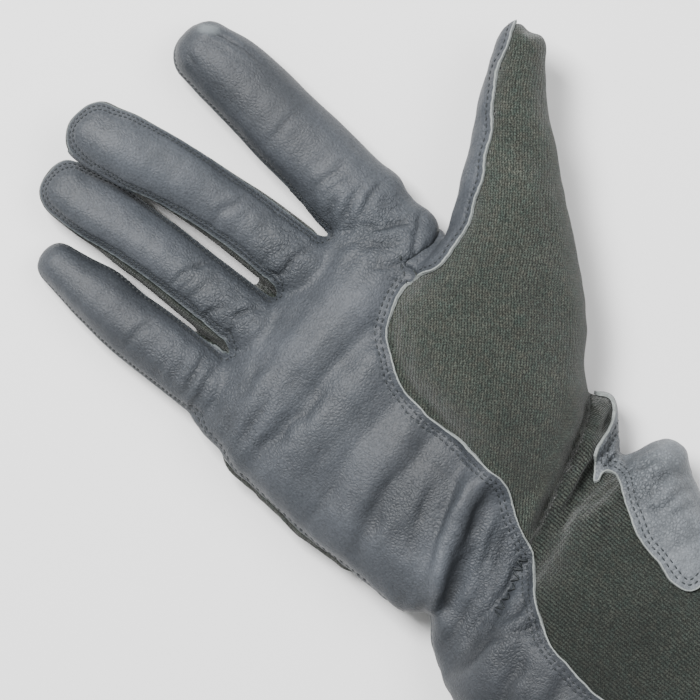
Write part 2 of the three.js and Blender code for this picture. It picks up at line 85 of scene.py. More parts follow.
# %% Sections of the fingers and thumb
FINGERS = ("index", "middle", "ring", "little")
LIMBS = {
    "index": dict(web=(42.9, 51.9), angle=90, length=78.9, rows=[
        (-17.3, -0.8, 11.9, -1.5, 20.7, 11.4, 7), (-5.2, 0, 13.8, -1.5, 23.9, 14.8, 7.9),
        (6.3, 0.8, 14, -1.5, 24.4, 14.6, 7.3), (19.6, 2.6, 13.5, -1.5, 23.5, 13.1, 6.6),
        (33, 3.5, 13.2, -1.5, 23.5, 12.7, 6.1), (47.1, 5, 12.8, -1.2, 23, 12, 6),
        (59.7, 5.7, 12.2, -0.8, 22.5, 11.3, 6.3), (69.5, 5.4, 10.7, -0.5, 21.4, 10.3, 6.8)]),
    "middle": dict(web=(12.5, 51.9), angle=90, length=88.1, rows=[
        (-17.7, 3, 11.6, -1.5, 20.2, 14.2, 12), (-4.4, 2.6, 12, -1.5, 23.8, 17.6, 16),
        (7.1, 2.4, 11.8, -0.8, 24.2, 18.9, 17.2), (22.1, 1.9, 11.5, 1.2, 24.6, 19.7, 18),
        (37.2, 0.5, 10.9, 4.4, 26.4, 20.6, 19.2), (49.6, -1, 10.9, 7.5, 28.6, 21.4, 21.2),
        (62, -3.7, 11.6, 10.1, 30.4, 23, 23.2), (71.7, -5.5, 11.6, 11.4, 30.8, 24, 24.4),
        (79.7, -7.2, 10.8, 11.9, 29.5, 24, 24.4)]),
    "ring": dict(web=(-11.2, 51.9), angle=90, length=84.2, rows=[
        (-16.7, 0.9, 11, -1.5, 19.3, 13.5, 10.6), (-4.2, 0.8, 11.4, -1.5, 22.7, 17.2, 13.2),
        (6.7, 0.7, 10.9, -1.5, 22.5, 18.2, 13), (23.4, 0.1, 10.6, -1.5, 21.8, 17.9, 12.2),
        (37.6, -0.2, 10.4, -1.5, 21.2, 16.9, 11.5), (50.1, -1.2, 10.4, -1.5, 20, 15.2, 10.4),
        (62.6, -2.1, 11, -1.5, 18.5, 12.9, 10.2), (74.3, -3.7, 9.9, -1.5, 17.2, 11.6, 10.8)]),
    "little": dict(web=(-34.8, 51.9), angle=90, length=68.5, rows=[
        (-15.1, 0.7, 10.3, -1.5, 17.5, 9.6, 9.1), (-3, 0.7, 10.8, -1.5, 20.5, 10.7, 11.9),
        (8.2, 0.4, 10.7, -1.5, 20.1, 10.1, 11.3), (20.6, -0.1, 10.7, -1.5, 19.4, 9.3, 10.1),
        (34.3, -0.7, 10.2, -1.5, 18.6, 8.8, 8.9), (45.2, -0.2, 9.7, -1.5, 17.5, 7.9, 7.6),
        (54.8, -0.6, 8, -1.5, 16, 6.6, 6.2), (61.7, -0.8, 6.9, -1.5, 14.6, 5.4, 5.2)]),
    "thumb": dict(web=(65.5, 3.9), angle=36, length=72, rows=[
        (-92, -1.6, 10.5, -1.5, 27.9, 0, 0), (-84, -1, 16, -1.5, 33, 0, 0),
        (-74, 1.2, 19.2, -1.5, 36.9, 0, 0), (-64, 2.2, 22.2, -1.5, 39.9, 0, 0),
        (-54, -0.5, 27.5, -1.5, 42, 0, 0), (-44, -4.5, 32.5, -0.2, 42.9, 0, 0),
        (-34, -7.2, 33.8, 1.9, 42.9, 0, 0), (-24, -7.5, 32.5, 4.8, 42, 0, 0),
        (-14, -5.1, 28.6, 7.5, 41.1, 0, 0), (-4, -2.5, 23.2, 9.9, 39.9, 0, 0),
        (6, -1.8, 19.5, 11.4, 39.3, 0, 0), (16, -2.4, 17.1, 12.6, 39, 0, 0),
        (26, -2.8, 15.1, 13.5, 38.4, 0, 0), (36, -3.3, 13.1, 14.1, 37.8, 0, 0),
        (46, -3.9, 11.1, 14.4, 36.9, 0, 0), (56, -3.4, 9.4, 15, 35.7, 0, 0),
        (61, -2.9, 8.5, 15, 34.8, 0, 0)]),
}

# %% [markdown]
# The hand and the cuff are one tube along Y: the place, the left and right sides and the height.

# %% Sections of the hand and cuff
HAND = [
    (-176.1, -70, 42, 44), (-149.7, -69, 40, 43.6), (-129.9, -68.3, 38.8, 43.1),
    (-115.6, -67.5, 38.2, 42.7), (-105.7, -66.8, 38.6, 42.7), (-98, -66, 39.8, 42.7),
    (-91.9, -65.1, 42.4, 42.7), (-85.9, -63.8, 45.8, 42.2), (-80.4, -62.4, 49.7, 41.4),
    (-76, -61, 48.9, 39.6), (-72.1, -59.4, 44, 36.5), (-68.9, -57.8, 37.3, 32.1),
    (-66.1, -56.2, 38, 29.6), (-62, -53.8, 40.6, 29.2), (-58.1, -51.5, 43.7, 29.6),
    (-54.3, -48.6, 46, 30.6), (-50.7, -47.3, 46.3, 32), (-47.2, -49.1, 44.7, 33.3),
    (-43.1, -50.3, 44.2, 34), (-38.4, -50.4, 44.2, 34), (-28.3, -50.2, 44.7, 33),
    (-15.3, -50.7, 45.5, 31.6), (-8.3, -51, 46, 31.3), (-1.2, -51.2, 46.8, 30.9),
    (10.6, -50.5, 49.1, 30.9), (21.2, -49.8, 52, 30.3), (25.4, -50, 53.6, 29.9),
    (30.1, -49, 55, 29.6), (35.4, -47.1, 54.9, 28.9), (40.7, -47.1, 54.4, 27.2),
    (45.4, -46.6, 56.7, 24.1), (49.6, -45.2, 56.7, 20.4), (52.5, -42.6, 54.1, 15),
]


def spline(table, places):
    """Each column of the table as a smooth curve through its rows, without overshoot."""
    table = np.array(table, float)
    x, values = table[:, 0], table[:, 1:]
    step = np.diff(x)[:, None]
    slope = np.diff(values, axis=0) / step
    tangent = np.zeros_like(values)
    tangent[0], tangent[-1] = slope[0], slope[-1]
    same = slope[:-1] * slope[1:] > 0
    mean = 2 * slope[:-1] * slope[1:] / np.where(same, slope[:-1] + slope[1:], 1.0)
    tangent[1:-1] = np.where(same, mean, 0.0)
    k = np.clip(np.searchsorted(x, places) - 1, 0, len(x) - 2)
    h = step[k]
    t = ((np.asarray(places) - x[k])[:, None]) / h
    return ((1 + 2 * t) * (1 - t) ** 2 * values[k] + t * (1 - t) ** 2 * h * tangent[k]
            + t * t * (3 - 2 * t) * values[k + 1] + t * t * (t - 1) * h * tangent[k + 1])


def section_at(limb, at):
    """The columns of a limb's table at places along it, held at the table's ends."""
    rows = limb["rows"]
    return spline(rows, np.clip(at, rows[0][0], rows[-1][0])).T


# %% [markdown]
# Folds are ridges and valleys laid over the sections from one place in plan to another, with a
# height and a half width. They give the palm its soft waves and the wrist its gathers.

# %% Folds of the hand, in millimetres
FOLDS = [
    (-46.8, 44.3, 20.8, 46.6, -1.4, 4.7), (-46.8, 36, 20.8, 30.1, 1.2, 5.7),
    (-50.4, 24.2, 13, 21.8, -1.7, 3.3), (-50.4, 13, 5.2, 14.2, 1, 5.2),
    (-50.4, 1.8, 0, 1.2, -1, 4.2), (-46.8, -11.8, 0, -8.3, 0.9, 4.7),
    (-46.8, -22.4, 0, -15.3, -0.9, 3.6), (-42.6, -43.7, -2.6, -28.3, -1.5, 4.2),
    (-47.8, -50.7, -2.6, -36.6, 3.4, 4.7), (-39, -56.6, -5.2, -45.4, -2.7, 5.2),
    (-52, -68.3, 26, -64.9, -2, 3.6), (-59.8, -78.2, -28.6, -73.8, 1.7, 3.6),
    (-62.4, -87, -26, -79.3, -1.4, 3.1), (28.6, -72.7, 46.8, -78.2, 2, 4.2),
]


def off_line(xy, x0, y0, x1, y1):
    """How far each place in plan is from a line, and its share along it."""
    start, run = np.array([x0, y0]), np.array([x1 - x0, y1 - y0])
    share = np.clip((xy - start) @ run / (run @ run), 0, 1)
    return np.linalg.norm(xy - start - share[:, None] * run, axis=1), share


def fold_height(xy):
    height = np.zeros(len(xy))
    for x0, y0, x1, y1, rise, spread in FOLDS:
        height += rise * np.exp(-(off_line(xy, x0, y0, x1, y1)[0] / spread) ** 2)
    return height


# %% [markdown]
# A tube is lofted through the sections: rounded rings, pressed flat where they meet the table.

# %% Rings of the tubes
STEP = 1.5  # from one ring to the next
ROUND, BOXY = 2.15, 2.4  # 2 is an ellipse, and more is squarer
TABLE_GAP = 0.4  # the least height of the flattened underside
TIP_RINGS = 11
WEB_START = 42.0


def ring(centre, sideways, half, low, high, sides, square):
    turn = np.linspace(0, 2 * np.pi, sides, endpoint=False)
    c, s = np.cos(turn), np.sin(turn)
    out = np.sign(c) * np.abs(c) ** (2 / square) * half
    up = np.sign(s) * np.abs(s) ** (2 / square) * (high - low) / 2
    xy = np.array(centre)[None, :] + out[:, None] * np.array(sideways)[None, :]
    z = (high + low) / 2 + up + np.where(s > 0, fold_height(xy) * s, 0)
    return np.column_stack([xy, np.maximum(z, TABLE_GAP)])


def axes_of(limb):
    turn = math.radians(limb["angle"])
    return np.array([math.cos(turn), math.sin(turn)]), np.array([math.sin(turn), -math.cos(turn)])


def limb_rings(limb, sides=56):
    """Rings from the root to the last row, then smaller ones that round off the tip."""
    forward, sideways = axes_of(limb)
    rows, web = limb["rows"], np.array(limb["web"])
    last = rows[-1][0]
    places = np.arange(rows[0][0], last, STEP)
    rings = []
    for at, (side, half, low, high, _, _) in zip(places, spline(rows, places)):
        centre = web + forward * at + sideways * side
        rings.append(ring(centre, sideways, half, low, high, sides, ROUND))
    side, half, low, high = rows[-1][1:5]
    tip = limb["length"] - last
    for turn in np.linspace(0, math.pi / 2, TIP_RINGS + 1)[:-1]:
        shrink = math.cos(turn) ** 0.85
        middle, tall = (low + high) / 2, (high - low) / 2 * shrink
        centre = web + forward * (last + tip * math.sin(turn)) + sideways * side
        rings.append(ring(centre, sideways, half * shrink, middle - tall, middle + tall, sides, ROUND))
    return rings


def hand_rings():
    places = np.arange(HAND[0][0], HAND[-1][0], STEP)
    return [ring(((left + right) / 2, y), (1.0, 0.0), (right - left) / 2, -3.0, high, 120, BOXY)
            for y, (left, right, high) in zip(places, spline(HAND, places))]


def web_rings(x, far, high):
    """The low web of knit between two fingers, which closes the bottom of their gap."""
    places = np.arange(WEB_START, far, STEP)
    drop = 4.0 * ((places - WEB_START) / (far - WEB_START)) ** 2
    return [ring((x, y), (1.0, 0.0), 4.5, -1.5, high - d, 32, ROUND) for y, d in zip(places, drop)]


# %% Loft the tubes
def loft(name, rings):
    mesh = bpy.data.meshes.new(name)
    count = len(rings[0])
    faces = [tuple(reversed(range(count)))]
    for r in range(len(rings) - 1):
        for i in range(count):
            j = (i + 1) % count
            faces.append((r * count + i, r * count + j, (r + 1) * count + j, (r + 1) * count + i))
    faces.append(tuple((len(rings) - 1) * count + i for i in range(count)))
    mesh.from_pydata([tuple(p * MM) for p in np.concatenate(rings)], [], faces)
    return place_object(name, mesh)


tubes = [loft("tube_" + name, limb_rings(limb)) for name, limb in LIMBS.items()]
tubes += [loft("tube_web_1", web_rings(-0.3, 60.5, 12.0)),
          loft("tube_web_2", web_rings(-22.8, 65.0, 11.5))]
tubes.append(loft("tube_hand", hand_rings()))
print(len(tubes), "tubes")

# %% [markdown]
# The tubes are joined and remeshed at one millimetre. That melts them into one even skin, which a
# few passes of smoothing round at the webs between the fingers.

# %% One skin
bpy.ops.object.select_all(action="DESELECT")
for tube in tubes:
    tube.select_set(True)
bpy.context.view_layer.objects.active = tubes[-1]
bpy.ops.object.join()
skin = bpy.context.view_layer.objects.active
skin.name = "skin"
bpy.ops.object.mode_set(mode="EDIT")
bpy.ops.mesh.select_all(action="SELECT")
bpy.ops.mesh.normals_make_consistent(inside=False)
bpy.ops.object.mode_set(mode="OBJECT")
voxels = skin.modifiers.new("voxels", "REMESH")
voxels.mode = "VOXEL"
voxels.voxel_size = 1.0 * MM
bpy.ops.object.modifier_apply(modifier=voxels.name)
soften = skin.modifiers.new("soften", "SMOOTH")
soften.factor = 0.5
soften.iterations = 7
bpy.ops.object.modifier_apply(modifier=soften.name)
print("skin:", len(skin.data.polygons), "faces")


# %% Read and write the points as arrays
def points_of(mesh):
    flat = np.empty(len(mesh.vertices) * 3)
    mesh.vertices.foreach_get("co", flat)
    return flat.reshape(-1, 3) / MM


def normals_of(mesh):
    flat = np.empty(len(mesh.vertices) * 3)
    mesh.vertex_normals.foreach_get("vector", flat)
    return flat.reshape(-1, 3)


def set_points(mesh, points):
    mesh.vertices.foreach_set("co", (points * MM).ravel())
    mesh.update()


# %% [markdown]
# Each seam is the zero line of a signed distance: positive inside the panel, negative outside.
# In plan that is the distance to an outline. On the fingers it is the height over the leather's
# edge. Cutting the mesh along the zero line gives clean seams that no voxel can blur.

# %% Seam outlines in plan
PALM = [(-30.7, -198), (-29.5, -112), (-29, -103), (-28, -92), (-25, -83), (-19, -75), (-13, -69),
        (-7.5, -65.5), (-6, -60), (-4, -55), (0, -50), (3.6, -44), (3.8, -35), (5, -20), (4.3, -10),
        (5, 0), (8, 6), (11, 11), (16, 17), (22, 20.5), (30, 22), (37.5, 22), (36, 28), (41, 26.5),
        (47, 24), (52.5, 25), (55.6, 28.3), (60.3, 33), (72.8, 36.6), (72.8, 60), (-90, 60), (-90, -198)]
THUMB_FRONT = [(31, 22.6), (35, 21.8), (38.4, 20.6), (42.1, 18.5), (47, 17.6), (52, 18), (60, 19.5),
               (66, 21.7), (72, 24.5), (82, 30), (92, 36), (99, 42), (105, 44.5), (112, 47),
               (118, 49), (130, 50.7), (130, 87), (28, 87), (31, 28.3)]
PATCH = [(72.8, -42), (45.6, -44), (44.6, -47), (46.7, -50.2), (47.1, -53), (45, -56), (39.4, -57.7),
         (32, -58.8), (27.5, -61), (21.8, -65.4), (22.4, -66.6), (27.4, -65.8), (28.8, -69),
         (26.4, -73.2), (21.8, -78.4), (17, -88), (15, -98), (13.3, -106), (14.5, -110.5),
         (19, -113), (72.8, -116)]
THENAR = [(-20, -66.1), (0, -61.5), (15, -57), (30, -53.5), (42, -48.5), (49.4, -42.5), (75, -52),
          (150, 40), (140, 80), (30, 70), (-20, 22.4)]


def rounded(outline):
    """Corner cutting, twice over, which turns a short outline into a smooth one."""
    path = np.array(outline, float)
    for _ in range(2):
        after = np.roll(path, -1, axis=0)
        path = np.stack([0.75 * path + 0.25 * after, 0.25 * path + 0.75 * after], 1).reshape(-1, 2)
    return path


def plan_distance(xy, outline):
    path = rounded(outline)
    after = np.roll(path, -1, axis=0)
    nearest = np.full(len(xy), 1e9)
    inside = np.zeros(len(xy), bool)
    for (x0, y0), (x1, y1) in zip(path, after):
        nearest = np.minimum(nearest, off_line(xy, x0, y0, x1, y1)[0])
        crosses = (y0 > xy[:, 1]) != (y1 > xy[:, 1])
        if y0 != y1:
            inside ^= crosses & (xy[:, 0] < (x1 - x0) * (xy[:, 1] - y0) / (y1 - y0) + x0)
    return np.where(inside, nearest, -nearest)


# %% Which limb a point is on, and how high the leather's edge is there
def smooth_step(x, low, high):
    t = np.clip((x - low) / (high - low), 0, 1)
    return t * t * (3 - 2 * t)


def finger_edge(points):
    """The height over the leather's edge, which finger is nearest, and the place across it."""
    best = np.full(len(points), 1e9)
    over = np.zeros(len(points))
    which = np.zeros(len(points), int)
    across = np.zeros(len(points))
    for k, name in enumerate(FINGERS):
        limb = LIMBS[name]
        side, half, _, _, little, thumb = section_at(limb, points[:, 1] - limb["web"][1])
        off = (points[:, 0] - limb["web"][0] - side) / half
        tip = np.maximum(points[:, 1] - limb["web"][1] - limb["length"], 0)
        away = np.abs(off) * half / 11 + tip
        share = np.clip((off + 1) / 2, 0, 1)
        height = points[:, 2] - (little + (thumb - little) * share)
        closer = away < best
        best[closer], over[closer], which[closer], across[closer] = (
            away[closer], height[closer], k, off[closer])
    return over, which, across


def waver(points, seed):
    """A hand-cut edge is never quite true: it wanders by a fraction of a millimetre."""
    x, y = points[:, 0], points[:, 1]
    return (0.26 * np.sin(0.33 * x + 0.29 * y + seed) + 0.12 * np.sin(0.75 * y - 0.5 * x + 2 * seed)
            + 0.05 * np.sin(1.5 * x + 1.1 * y + 3 * seed))


def knit_strip(points):
    """Where the knit swells out past the leather, on the little finger's side of the hand."""
    x, y = points[:, 0], points[:, 1]
    return smooth_step(-x, 36.0, 44.0) * smooth_step(y, -32.0, -18.0) * (1 - smooth_step(y, 25.0, 38.0))


SEAM_HEIGHT, SEAM_FALL, PALM_WIDTH = 11.5, 7.0, 104.0


def palm_field(points):
    """In plan on the palm, by height down its little finger's side, and by height on the fingers."""
    plan = plan_distance(points[:, :2], PALM) + waver(points, 1.0)
    x, y = points[:, 0], points[:, 1]
    ulnar = smooth_step(-x, 36.0, 44.0)
    below = 2.4 * knit_strip(points)
    below += ulnar * (3.0 * smooth_step(-y, 26.0, 38.0) + 2.0 * smooth_step(-y, 52.0, 62.0))
    seam = points[:, 2] - (SEAM_HEIGHT - SEAM_FALL * x / PALM_WIDTH - below)
    hand = np.minimum(plan, seam)
    finger, _, _ = finger_edge(points)
    mix = smooth_step(y, 47.0 - 17.0 * ulnar, 56.0)
    return hand * (1 - mix) + finger * mix


def thumb_front_field(points):
    plan = plan_distance(points[:, :2], THUMB_FRONT) + waver(points, 1.0) * 1.3
    return np.minimum(plan, points[:, 2] - 6.0)


def patch_field(points):
    return np.minimum(plan_distance(points[:, :2], PATCH) + waver(points, 2.0), points[:, 2] - 5.0)


def thenar_field(points):
    forward, _ = axes_of(LIMBS["thumb"])
    at = (points[:, :2] - np.array(LIMBS["thumb"]["web"])) @ forward
    gusset = 10.0 - 20.0 * smooth_step(at, -32.0, -2.0)
    return np.minimum(plan_distance(points[:, :2], THENAR), points[:, 2] - gusset)


# %% [markdown]
# Before it is cut, the skin gets its finer folds. Creases run where the fingers bend, pulls run
# off the seams, and the elastic crumples the wrist. Each is a valley with a soft shoulder on each
# side, or a ridge where the depth is negative. A few nudges in plan sharpen the outline's notches.

# %% Creases, in plan: from, to, depth and half width in millimetres
CREASES = [
    # over the thumb's web and the base of the index finger
    (39.7, 25.5, 47, 30.5, 0.8, 1), (47, 30.5, 52.5, 33.5, 0.8, 1),
    (40, 48.5, 53, 49.5, 0.9, 1.2), (31, 55.5, 40, 57.5, 0.6, 1.1),
    (33, 40, 42, 32, 0.8, 1.2), (38, 44, 47, 36, 0.8, 1.1),
    (30, 35, 37, 27, 0.6, 1.2), (42, 40, 51, 33, 0.6, 1),
    (36, 52, 46, 54, 0.7, 1.1), (27, 46, 36, 42, 0.5, 1.3),
    (34, 66, 50, 62.5, 0.5, 1.3), (37, 61, 47, 58.5, 0.4, 1),
    # joints of the fingers
    (4, 57, 22, 54.5, 0.8, 1.3), (6, 62.5, 19, 60, 0.4, 1),
    (-20, 56.5, -8, 57.5, 0.7, 1.2), (-13, 59.5, -4.5, 55.2, 0.9, 1),
    (-44, 55, -26, 58, 0.8, 1.2), (-42, 61, -28, 63.5, 0.4, 1),
    (-46, 50, -26, 52.5, 0.7, 1.3), (-15, 81.5, -9, 78.5, 0.8, 0.9),
    (-9, 78.5, -3, 75.5, 0.8, 0.9), (-18, 74, -8, 72, 0.4, 1),
    (6, 84, 21, 81, 0.5, 1.3), (36, 86, 57, 84.5, 0.4, 1.3),
    (-43, 80, -28, 78, 0.5, 1.2), (-21, 66, -10, 63, 0.5, 1),
    # the folded tip of the index finger
    (55, 123, 56.8, 113, 1.3, 0.9), (56.8, 113, 57.2, 104, 0.8, 0.9),
    (51.5, 128, 55.8, 123, -0.5, 1.6), (45.3, 126.5, 42.2, 119.5, 0.35, 0.9),
    # across the palm and the heel of the hand
    (-47, 30, -20, 33.5, 0.6, 1.6), (-47, 24, -12, 20.5, 0.8, 2.4),
    (-40, 39.5, -8, 42, 0.5, 1.5), (-50, -3, -24, 0, 0.6, 2),
    (-49, -20, -16, -14, 0.8, 2.2), (-8, -24, -34, -33, 0.7, 2),
    (-2.2, -41.3, -23, -46.9, 1.6, 2.5), (-23, -46.9, -38.5, -54.3, 2.2, 2.5),
    (-2.4, -33, -27.2, -41.9, -1.1, 1.4), (-24, -40.7, -45.2, -52.8, -1.6, 1.4),
    (-4, -44, -20, -53, -0.9, 1.6), (-8, -54, -24, -61, 0.8, 1.3),
    (-13, -51, -26, -57.5, 0.5, 1.1), (-36, -47.5, -45, -53, 0.7, 1.4),
    # the gathered wrist, leather side
    (-55, -70, -35, -72, 1, 1.6), (-50, -62, -27, -60, 0.8, 1.5),
    (-30, -66.5, -12, -63, 0.9, 1.3), (-36, -75, -24, -80, 0.9, 1.5),
    (-12, -59, -27, -63.5, 0.6, 1), (-16, -70, -29, -74.5, 0.8, 1.2),
    (-33, -84, -56, -88, 0.7, 2), (-31, -98, -60, -104, 0.6, 2.4),
    # the gathered wrist, knit side: a deep valley, a rolled band and a second valley
    (-4, -62.6, 15, -57.6, 2.6, 2.2), (15, -57.6, 33, -53, 2.7, 2.2),
    (33, -53, 42, -48, 2, 1.8), (4, -66, 17, -63, 1.8, 1.5),
    (17, -63, 29, -60, 2.4, 1.6), (10, -62, 36, -55.5, -1.4, 2.2),
    (3, -70.5, 24, -69, -1.6, 3.2), (2, -80, 17, -77, 0.6, 1.8),
    # the crumpled leather of the cuff patch
    (31, -62.5, 38, -60.5, 1.1, 1), (36, -57.5, 44, -56, 0.9, 1),
    (28.5, -66, 36, -65, 1.4, 1.1), (33, -69.5, 37, -66.5, 1.2, 1.2),
    (30, -71, 41, -76, 0.9, 1.1), (29, -78, 43, -84, 1, 1.6),
    (24, -84, 40, -90, 0.9, 1.5), (31.5, -74, 38, -80.5, 0.8, 1),
    (26, -79.5, 34, -83, 0.8, 1), (38, -72.5, 47, -79, -1, 1.6),
    (27, -88, 38, -95.5, 0.7, 1.3), (21, -97, 36, -103, 0.7, 1.8),
]

# %% Nudges, crumpled places and spots of painted light and shade, each with its place in plan
# the shift in X and Y, and its reach
NUDGES = [
    (-49.2, -53, 3.4, 0.6, 4.5), (39.8, -66.2, -3.7, -0.3, 4.3), (46.5, -53, 1.8, 0.2, 3.6),
    (57.5, 47.5, 1.2, 0, 4.5), (50, -41.5, -0.8, 0.9, 8), (54.4, -34.5, -0.5, 0.6, 4),
    (110, 44, -0.6, 0.4, 6), (123.2, 44.6, -2.4, 0.2, 3.4),
]

# the reach, and the strength of the crumpling
CRUMPLED = [
    (40, 40, 14, 1), (33, 55, 9, 0.6), (14, 60, 11, 1), (-12, 62, 12, 1), (-36, 60, 13, 0.8),
    (-36, 33, 20, 0.5), (-12, 80, 9, 0.6), (-10, 18, 22, 0.25), (-15, -58, 14, 1),
    (-30, -72, 16, 0.8), (34, -63, 9, 1.3), (33, -78, 13, 1.3), (30, -92, 12, 0.8),
    (-44, -45, 12, 0.6), (-24, -30, 16, 0.4), (24, -58, 9, 1), (8, -63.5, 8, 1), (14, -71, 9, 0.8),
]

# the reach, and the share by which a spot of painted light makes the surface paler, or painted shade
# makes it darker where the share is negative
PAINTED_LIGHT_SPOTS = [
    (46, 98, 26, -0.3), (40, 50, 14, 0.25), (8, 108, 20, 0.35), (-11, 110, 12, -0.1),
    (-34, 90, 20, -0.25), (-14, -22, 18, -0.35), (24, 24, 10, 0.15), (-29, -44, 9, 0.3),
    (-48, -92, 36, -0.4), (76, 32, 24, 0.25), (20, -32, 14, -0.12), (42.5, -51.5, 6.5, -0.35),
]


# %% Measure them at every point
def nearness(points, x, y, reach):
    """One at a place in plan, falling softly to nothing past the reach."""
    return np.exp(-((points[:, 0] - x) ** 2 + (points[:, 1] - y) ** 2) / reach ** 2)


def crumple(points):
    total = np.zeros(len(points))
    for x, y, reach, strength in CRUMPLED:
        total = np.maximum(total, strength * nearness(points, x, y, reach))
    return total


# Painted light and shade: one, raised near the paler spots and lowered near the darker ones.
def painted_light_spots_at(points):
    return 1 + sum(share * nearness(points, x, y, reach) for x, y, reach, share in PAINTED_LIGHT_SPOTS)


def painted_tip_highlight(points):
    """A painted highlight: the pale facet on the folded tip of the index finger, where the fold catches
    the light.
    """
    along = (points[:, 0] - 54.4) * 0.55 - (points[:, 1] - 125.0) * 0.83
    aside = (points[:, 0] - 54.4) * 0.83 + (points[:, 1] - 125.0) * 0.55
    return np.exp(-(along / 3.2) ** 4 - (aside / 1.5) ** 4) * (points[:, 2] > 8)


def soft_noise(points, size, seed):
    """Smooth noise from a few sine waves in turned directions."""
    chance = np.random.RandomState(seed)
    total = np.zeros(len(points))
    for _ in range(9):
        way = chance.normal(size=3)
        way *= 2 * np.pi / (size * chance.uniform(0.7, 1.5)) / np.linalg.norm(way)
        total += np.sin(points @ way + chance.uniform(0, 6.28))
    return total / 3.0


def crease_depth(points, normals):
    """How far the creases move each point, faded where the skin turns away from above."""
    depth = np.zeros(len(points))
    bend = soft_noise(points, 11.0, 8)[:, None] * 1.1 * np.array([0.5, 0.6])
    for x0, y0, x1, y1, deep, wide in CREASES:
        off, share = off_line(points[:, :2] + bend, x0, y0, x1, y1)
        fade = np.sin(np.pi * np.clip(share, 0.03, 0.97)) ** 0.5
        shoulder = 0.4 * np.exp(-((off - 2.3 * wide) / (1.2 * wide)) ** 2)
        depth += fade * deep * (shoulder - np.exp(-(off / wide) ** 2))
    return depth * smooth_step(normals[:, 2], 0.1, 0.5)


# %% [markdown]
# The nudges come first, then every point moves along its normal by its creases and by a little
# noise. The underside and the walls between the fingers stay quiet.

# %% Press the creases into the skin
mesh = skin.data
points = points_of(mesh)
for x, y, dx, dy, reach in NUDGES:
    pull = nearness(points, x, y, reach)
    points[:, 0] += dx * pull
    points[:, 1] += dy * pull
set_points(mesh, points)
points, normals = points_of(mesh), normals_of(mesh)
lift = crease_depth(points, normals)
crumpled = crumple(points)
lift += 0.25 * soft_noise(points, 17.0, 3) + (0.09 + 0.15 * crumpled) * soft_noise(points, 5.5, 4)
lift += 0.07 * crumpled * soft_noise(points, 3.2, 5)
above = smooth_step(points[:, 2], 0.6, 6.0)
wall = smooth_step(np.abs(normals[:, 0]), 0.6, 0.95) * smooth_step(points[:, 1], 46.0, 56.0)
above *= 1 - 0.85 * wall
set_points(mesh, points + normals * (lift * above)[:, None])
relief = mesh.attributes.new("relief", "FLOAT", "POINT")
relief.data.foreach_set("value", lift * above)
way = mesh.attributes.new("way", "FLOAT_VECTOR", "POINT")
way.data.foreach_set("vector", normals_of(mesh).ravel())
print("creases:", len(CREASES))

# %% [markdown]
# A cut slides the nearest points onto the zero line, splits the edges that still cross it and
# joins the new points across each face. The leather's margins are then divided once more, so that
# the raw edges and the rows of stitches get a finer mesh than the open areas.

# %% One cut
HEM_Y = -175.4
SNAP = 0.35  # points nearer than this to a line slide onto it
SEAMS = {"palm": palm_field, "front": thumb_front_field, "patch": patch_field,
         "thenar": thenar_field}


def hem_field(points):
    return points[:, 1] - HEM_Y


def cut_along(bm, layer, field):
    points = np.array([v.co for v in bm.verts]) / MM
    values = field(points)
    for v, value in zip(bm.verts, values):
        v[layer] = value
    for v in bm.verts:
        here = v[layer]
        if 0 < abs(here) < SNAP:
            ends = [(e.other_vert(v), e.other_vert(v)[layer]) for e in v.link_edges]
            ends = [(o, there) for o, there in ends if here * there < 0]
            if ends:
                other, there = max(ends, key=lambda pair: abs(pair[1]))
                v.co = v.co.lerp(other.co, here / (here - there))
                v[layer] = 0.0
    for e in [e for e in bm.edges if e.verts[0][layer] * e.verts[1][layer] < 0]:
        a, b = e.verts
        share = a[layer] / (a[layer] - b[layer])
        fresh = bmesh.utils.edge_split(e, a, share)[1]
        fresh[layer] = 0.0
    on_line = [v for v in bm.verts if v[layer] == 0.0]
    bmesh.ops.connect_verts(bm, verts=on_line)


# %% Cut the skin along its seams
MARGIN = 5.4  # how far from a raw edge the leather's mesh is finer
bm = bmesh.new()
bm.from_mesh(mesh)
hem = bm.verts.layers.float.new("hem")
relief_layer = bm.verts.layers.float["relief"]
way_layer = bm.verts.layers.float_vector["way"]
cut_along(bm, hem, hem_field)
beyond = [f for f in bm.faces if sum(v[hem] for v in f.verts) < 0]
bmesh.ops.delete(bm, geom=beyond, context="FACES")
layers = {name: bm.verts.layers.float.new(name) for name in SEAMS}
for name, field in SEAMS.items():
    cut_along(bm, layers[name], field)
for layer in layers.values():
    seam = [v for v in bm.verts if v[layer] == 0.0]
    bmesh.ops.remove_doubles(bm, verts=seam, dist=0.12 * MM)
hidden = [v for v in bm.verts if abs(v[layers["thenar"]]) < 1.2 and v[layers["palm"]] > 7.0]
bmesh.ops.remove_doubles(bm, verts=hidden, dist=0.4 * MM)
covered = {v: max(v[layers["palm"]], v[layers["front"]], v[layers["patch"]]) for v in bm.verts}
margin = [e for e in bm.edges if all(-0.3 < covered[v] < MARGIN and v.co.z > 3 * MM for v in e.verts)]
bmesh.ops.subdivide_edges(bm, edges=margin, cuts=1, use_grid_fill=True)
bmesh.ops.triangulate(bm, faces=[f for f in bm.faces if len(f.verts) > 4])
bm.normal_update()
bm.verts.index_update()

# %% Take the cut skin over as arrays
skin_points = np.array([v.co for v in bm.verts]) / MM
skin_normals = np.array([v[way_layer] for v in bm.verts])
skin_normals /= np.linalg.norm(skin_normals, axis=1)[:, None]
skin_relief = np.array([v[relief_layer] for v in bm.verts])
fields = {name: np.array([v[layer] for v in bm.verts]) for name, layer in layers.items()}
for name, field in SEAMS.items():
    exact = np.abs(fields[name]) < 1e-6
    fields[name] = np.where(exact, 0.0, field(skin_points))
skin_faces = [tuple(v.index for v in f.verts) for f in bm.faces]
bm.free()
side = {name: np.array([values[list(f)].mean() for f in skin_faces])
        for name, values in fields.items()}
print("cut skin:", len(skin_faces), "faces")

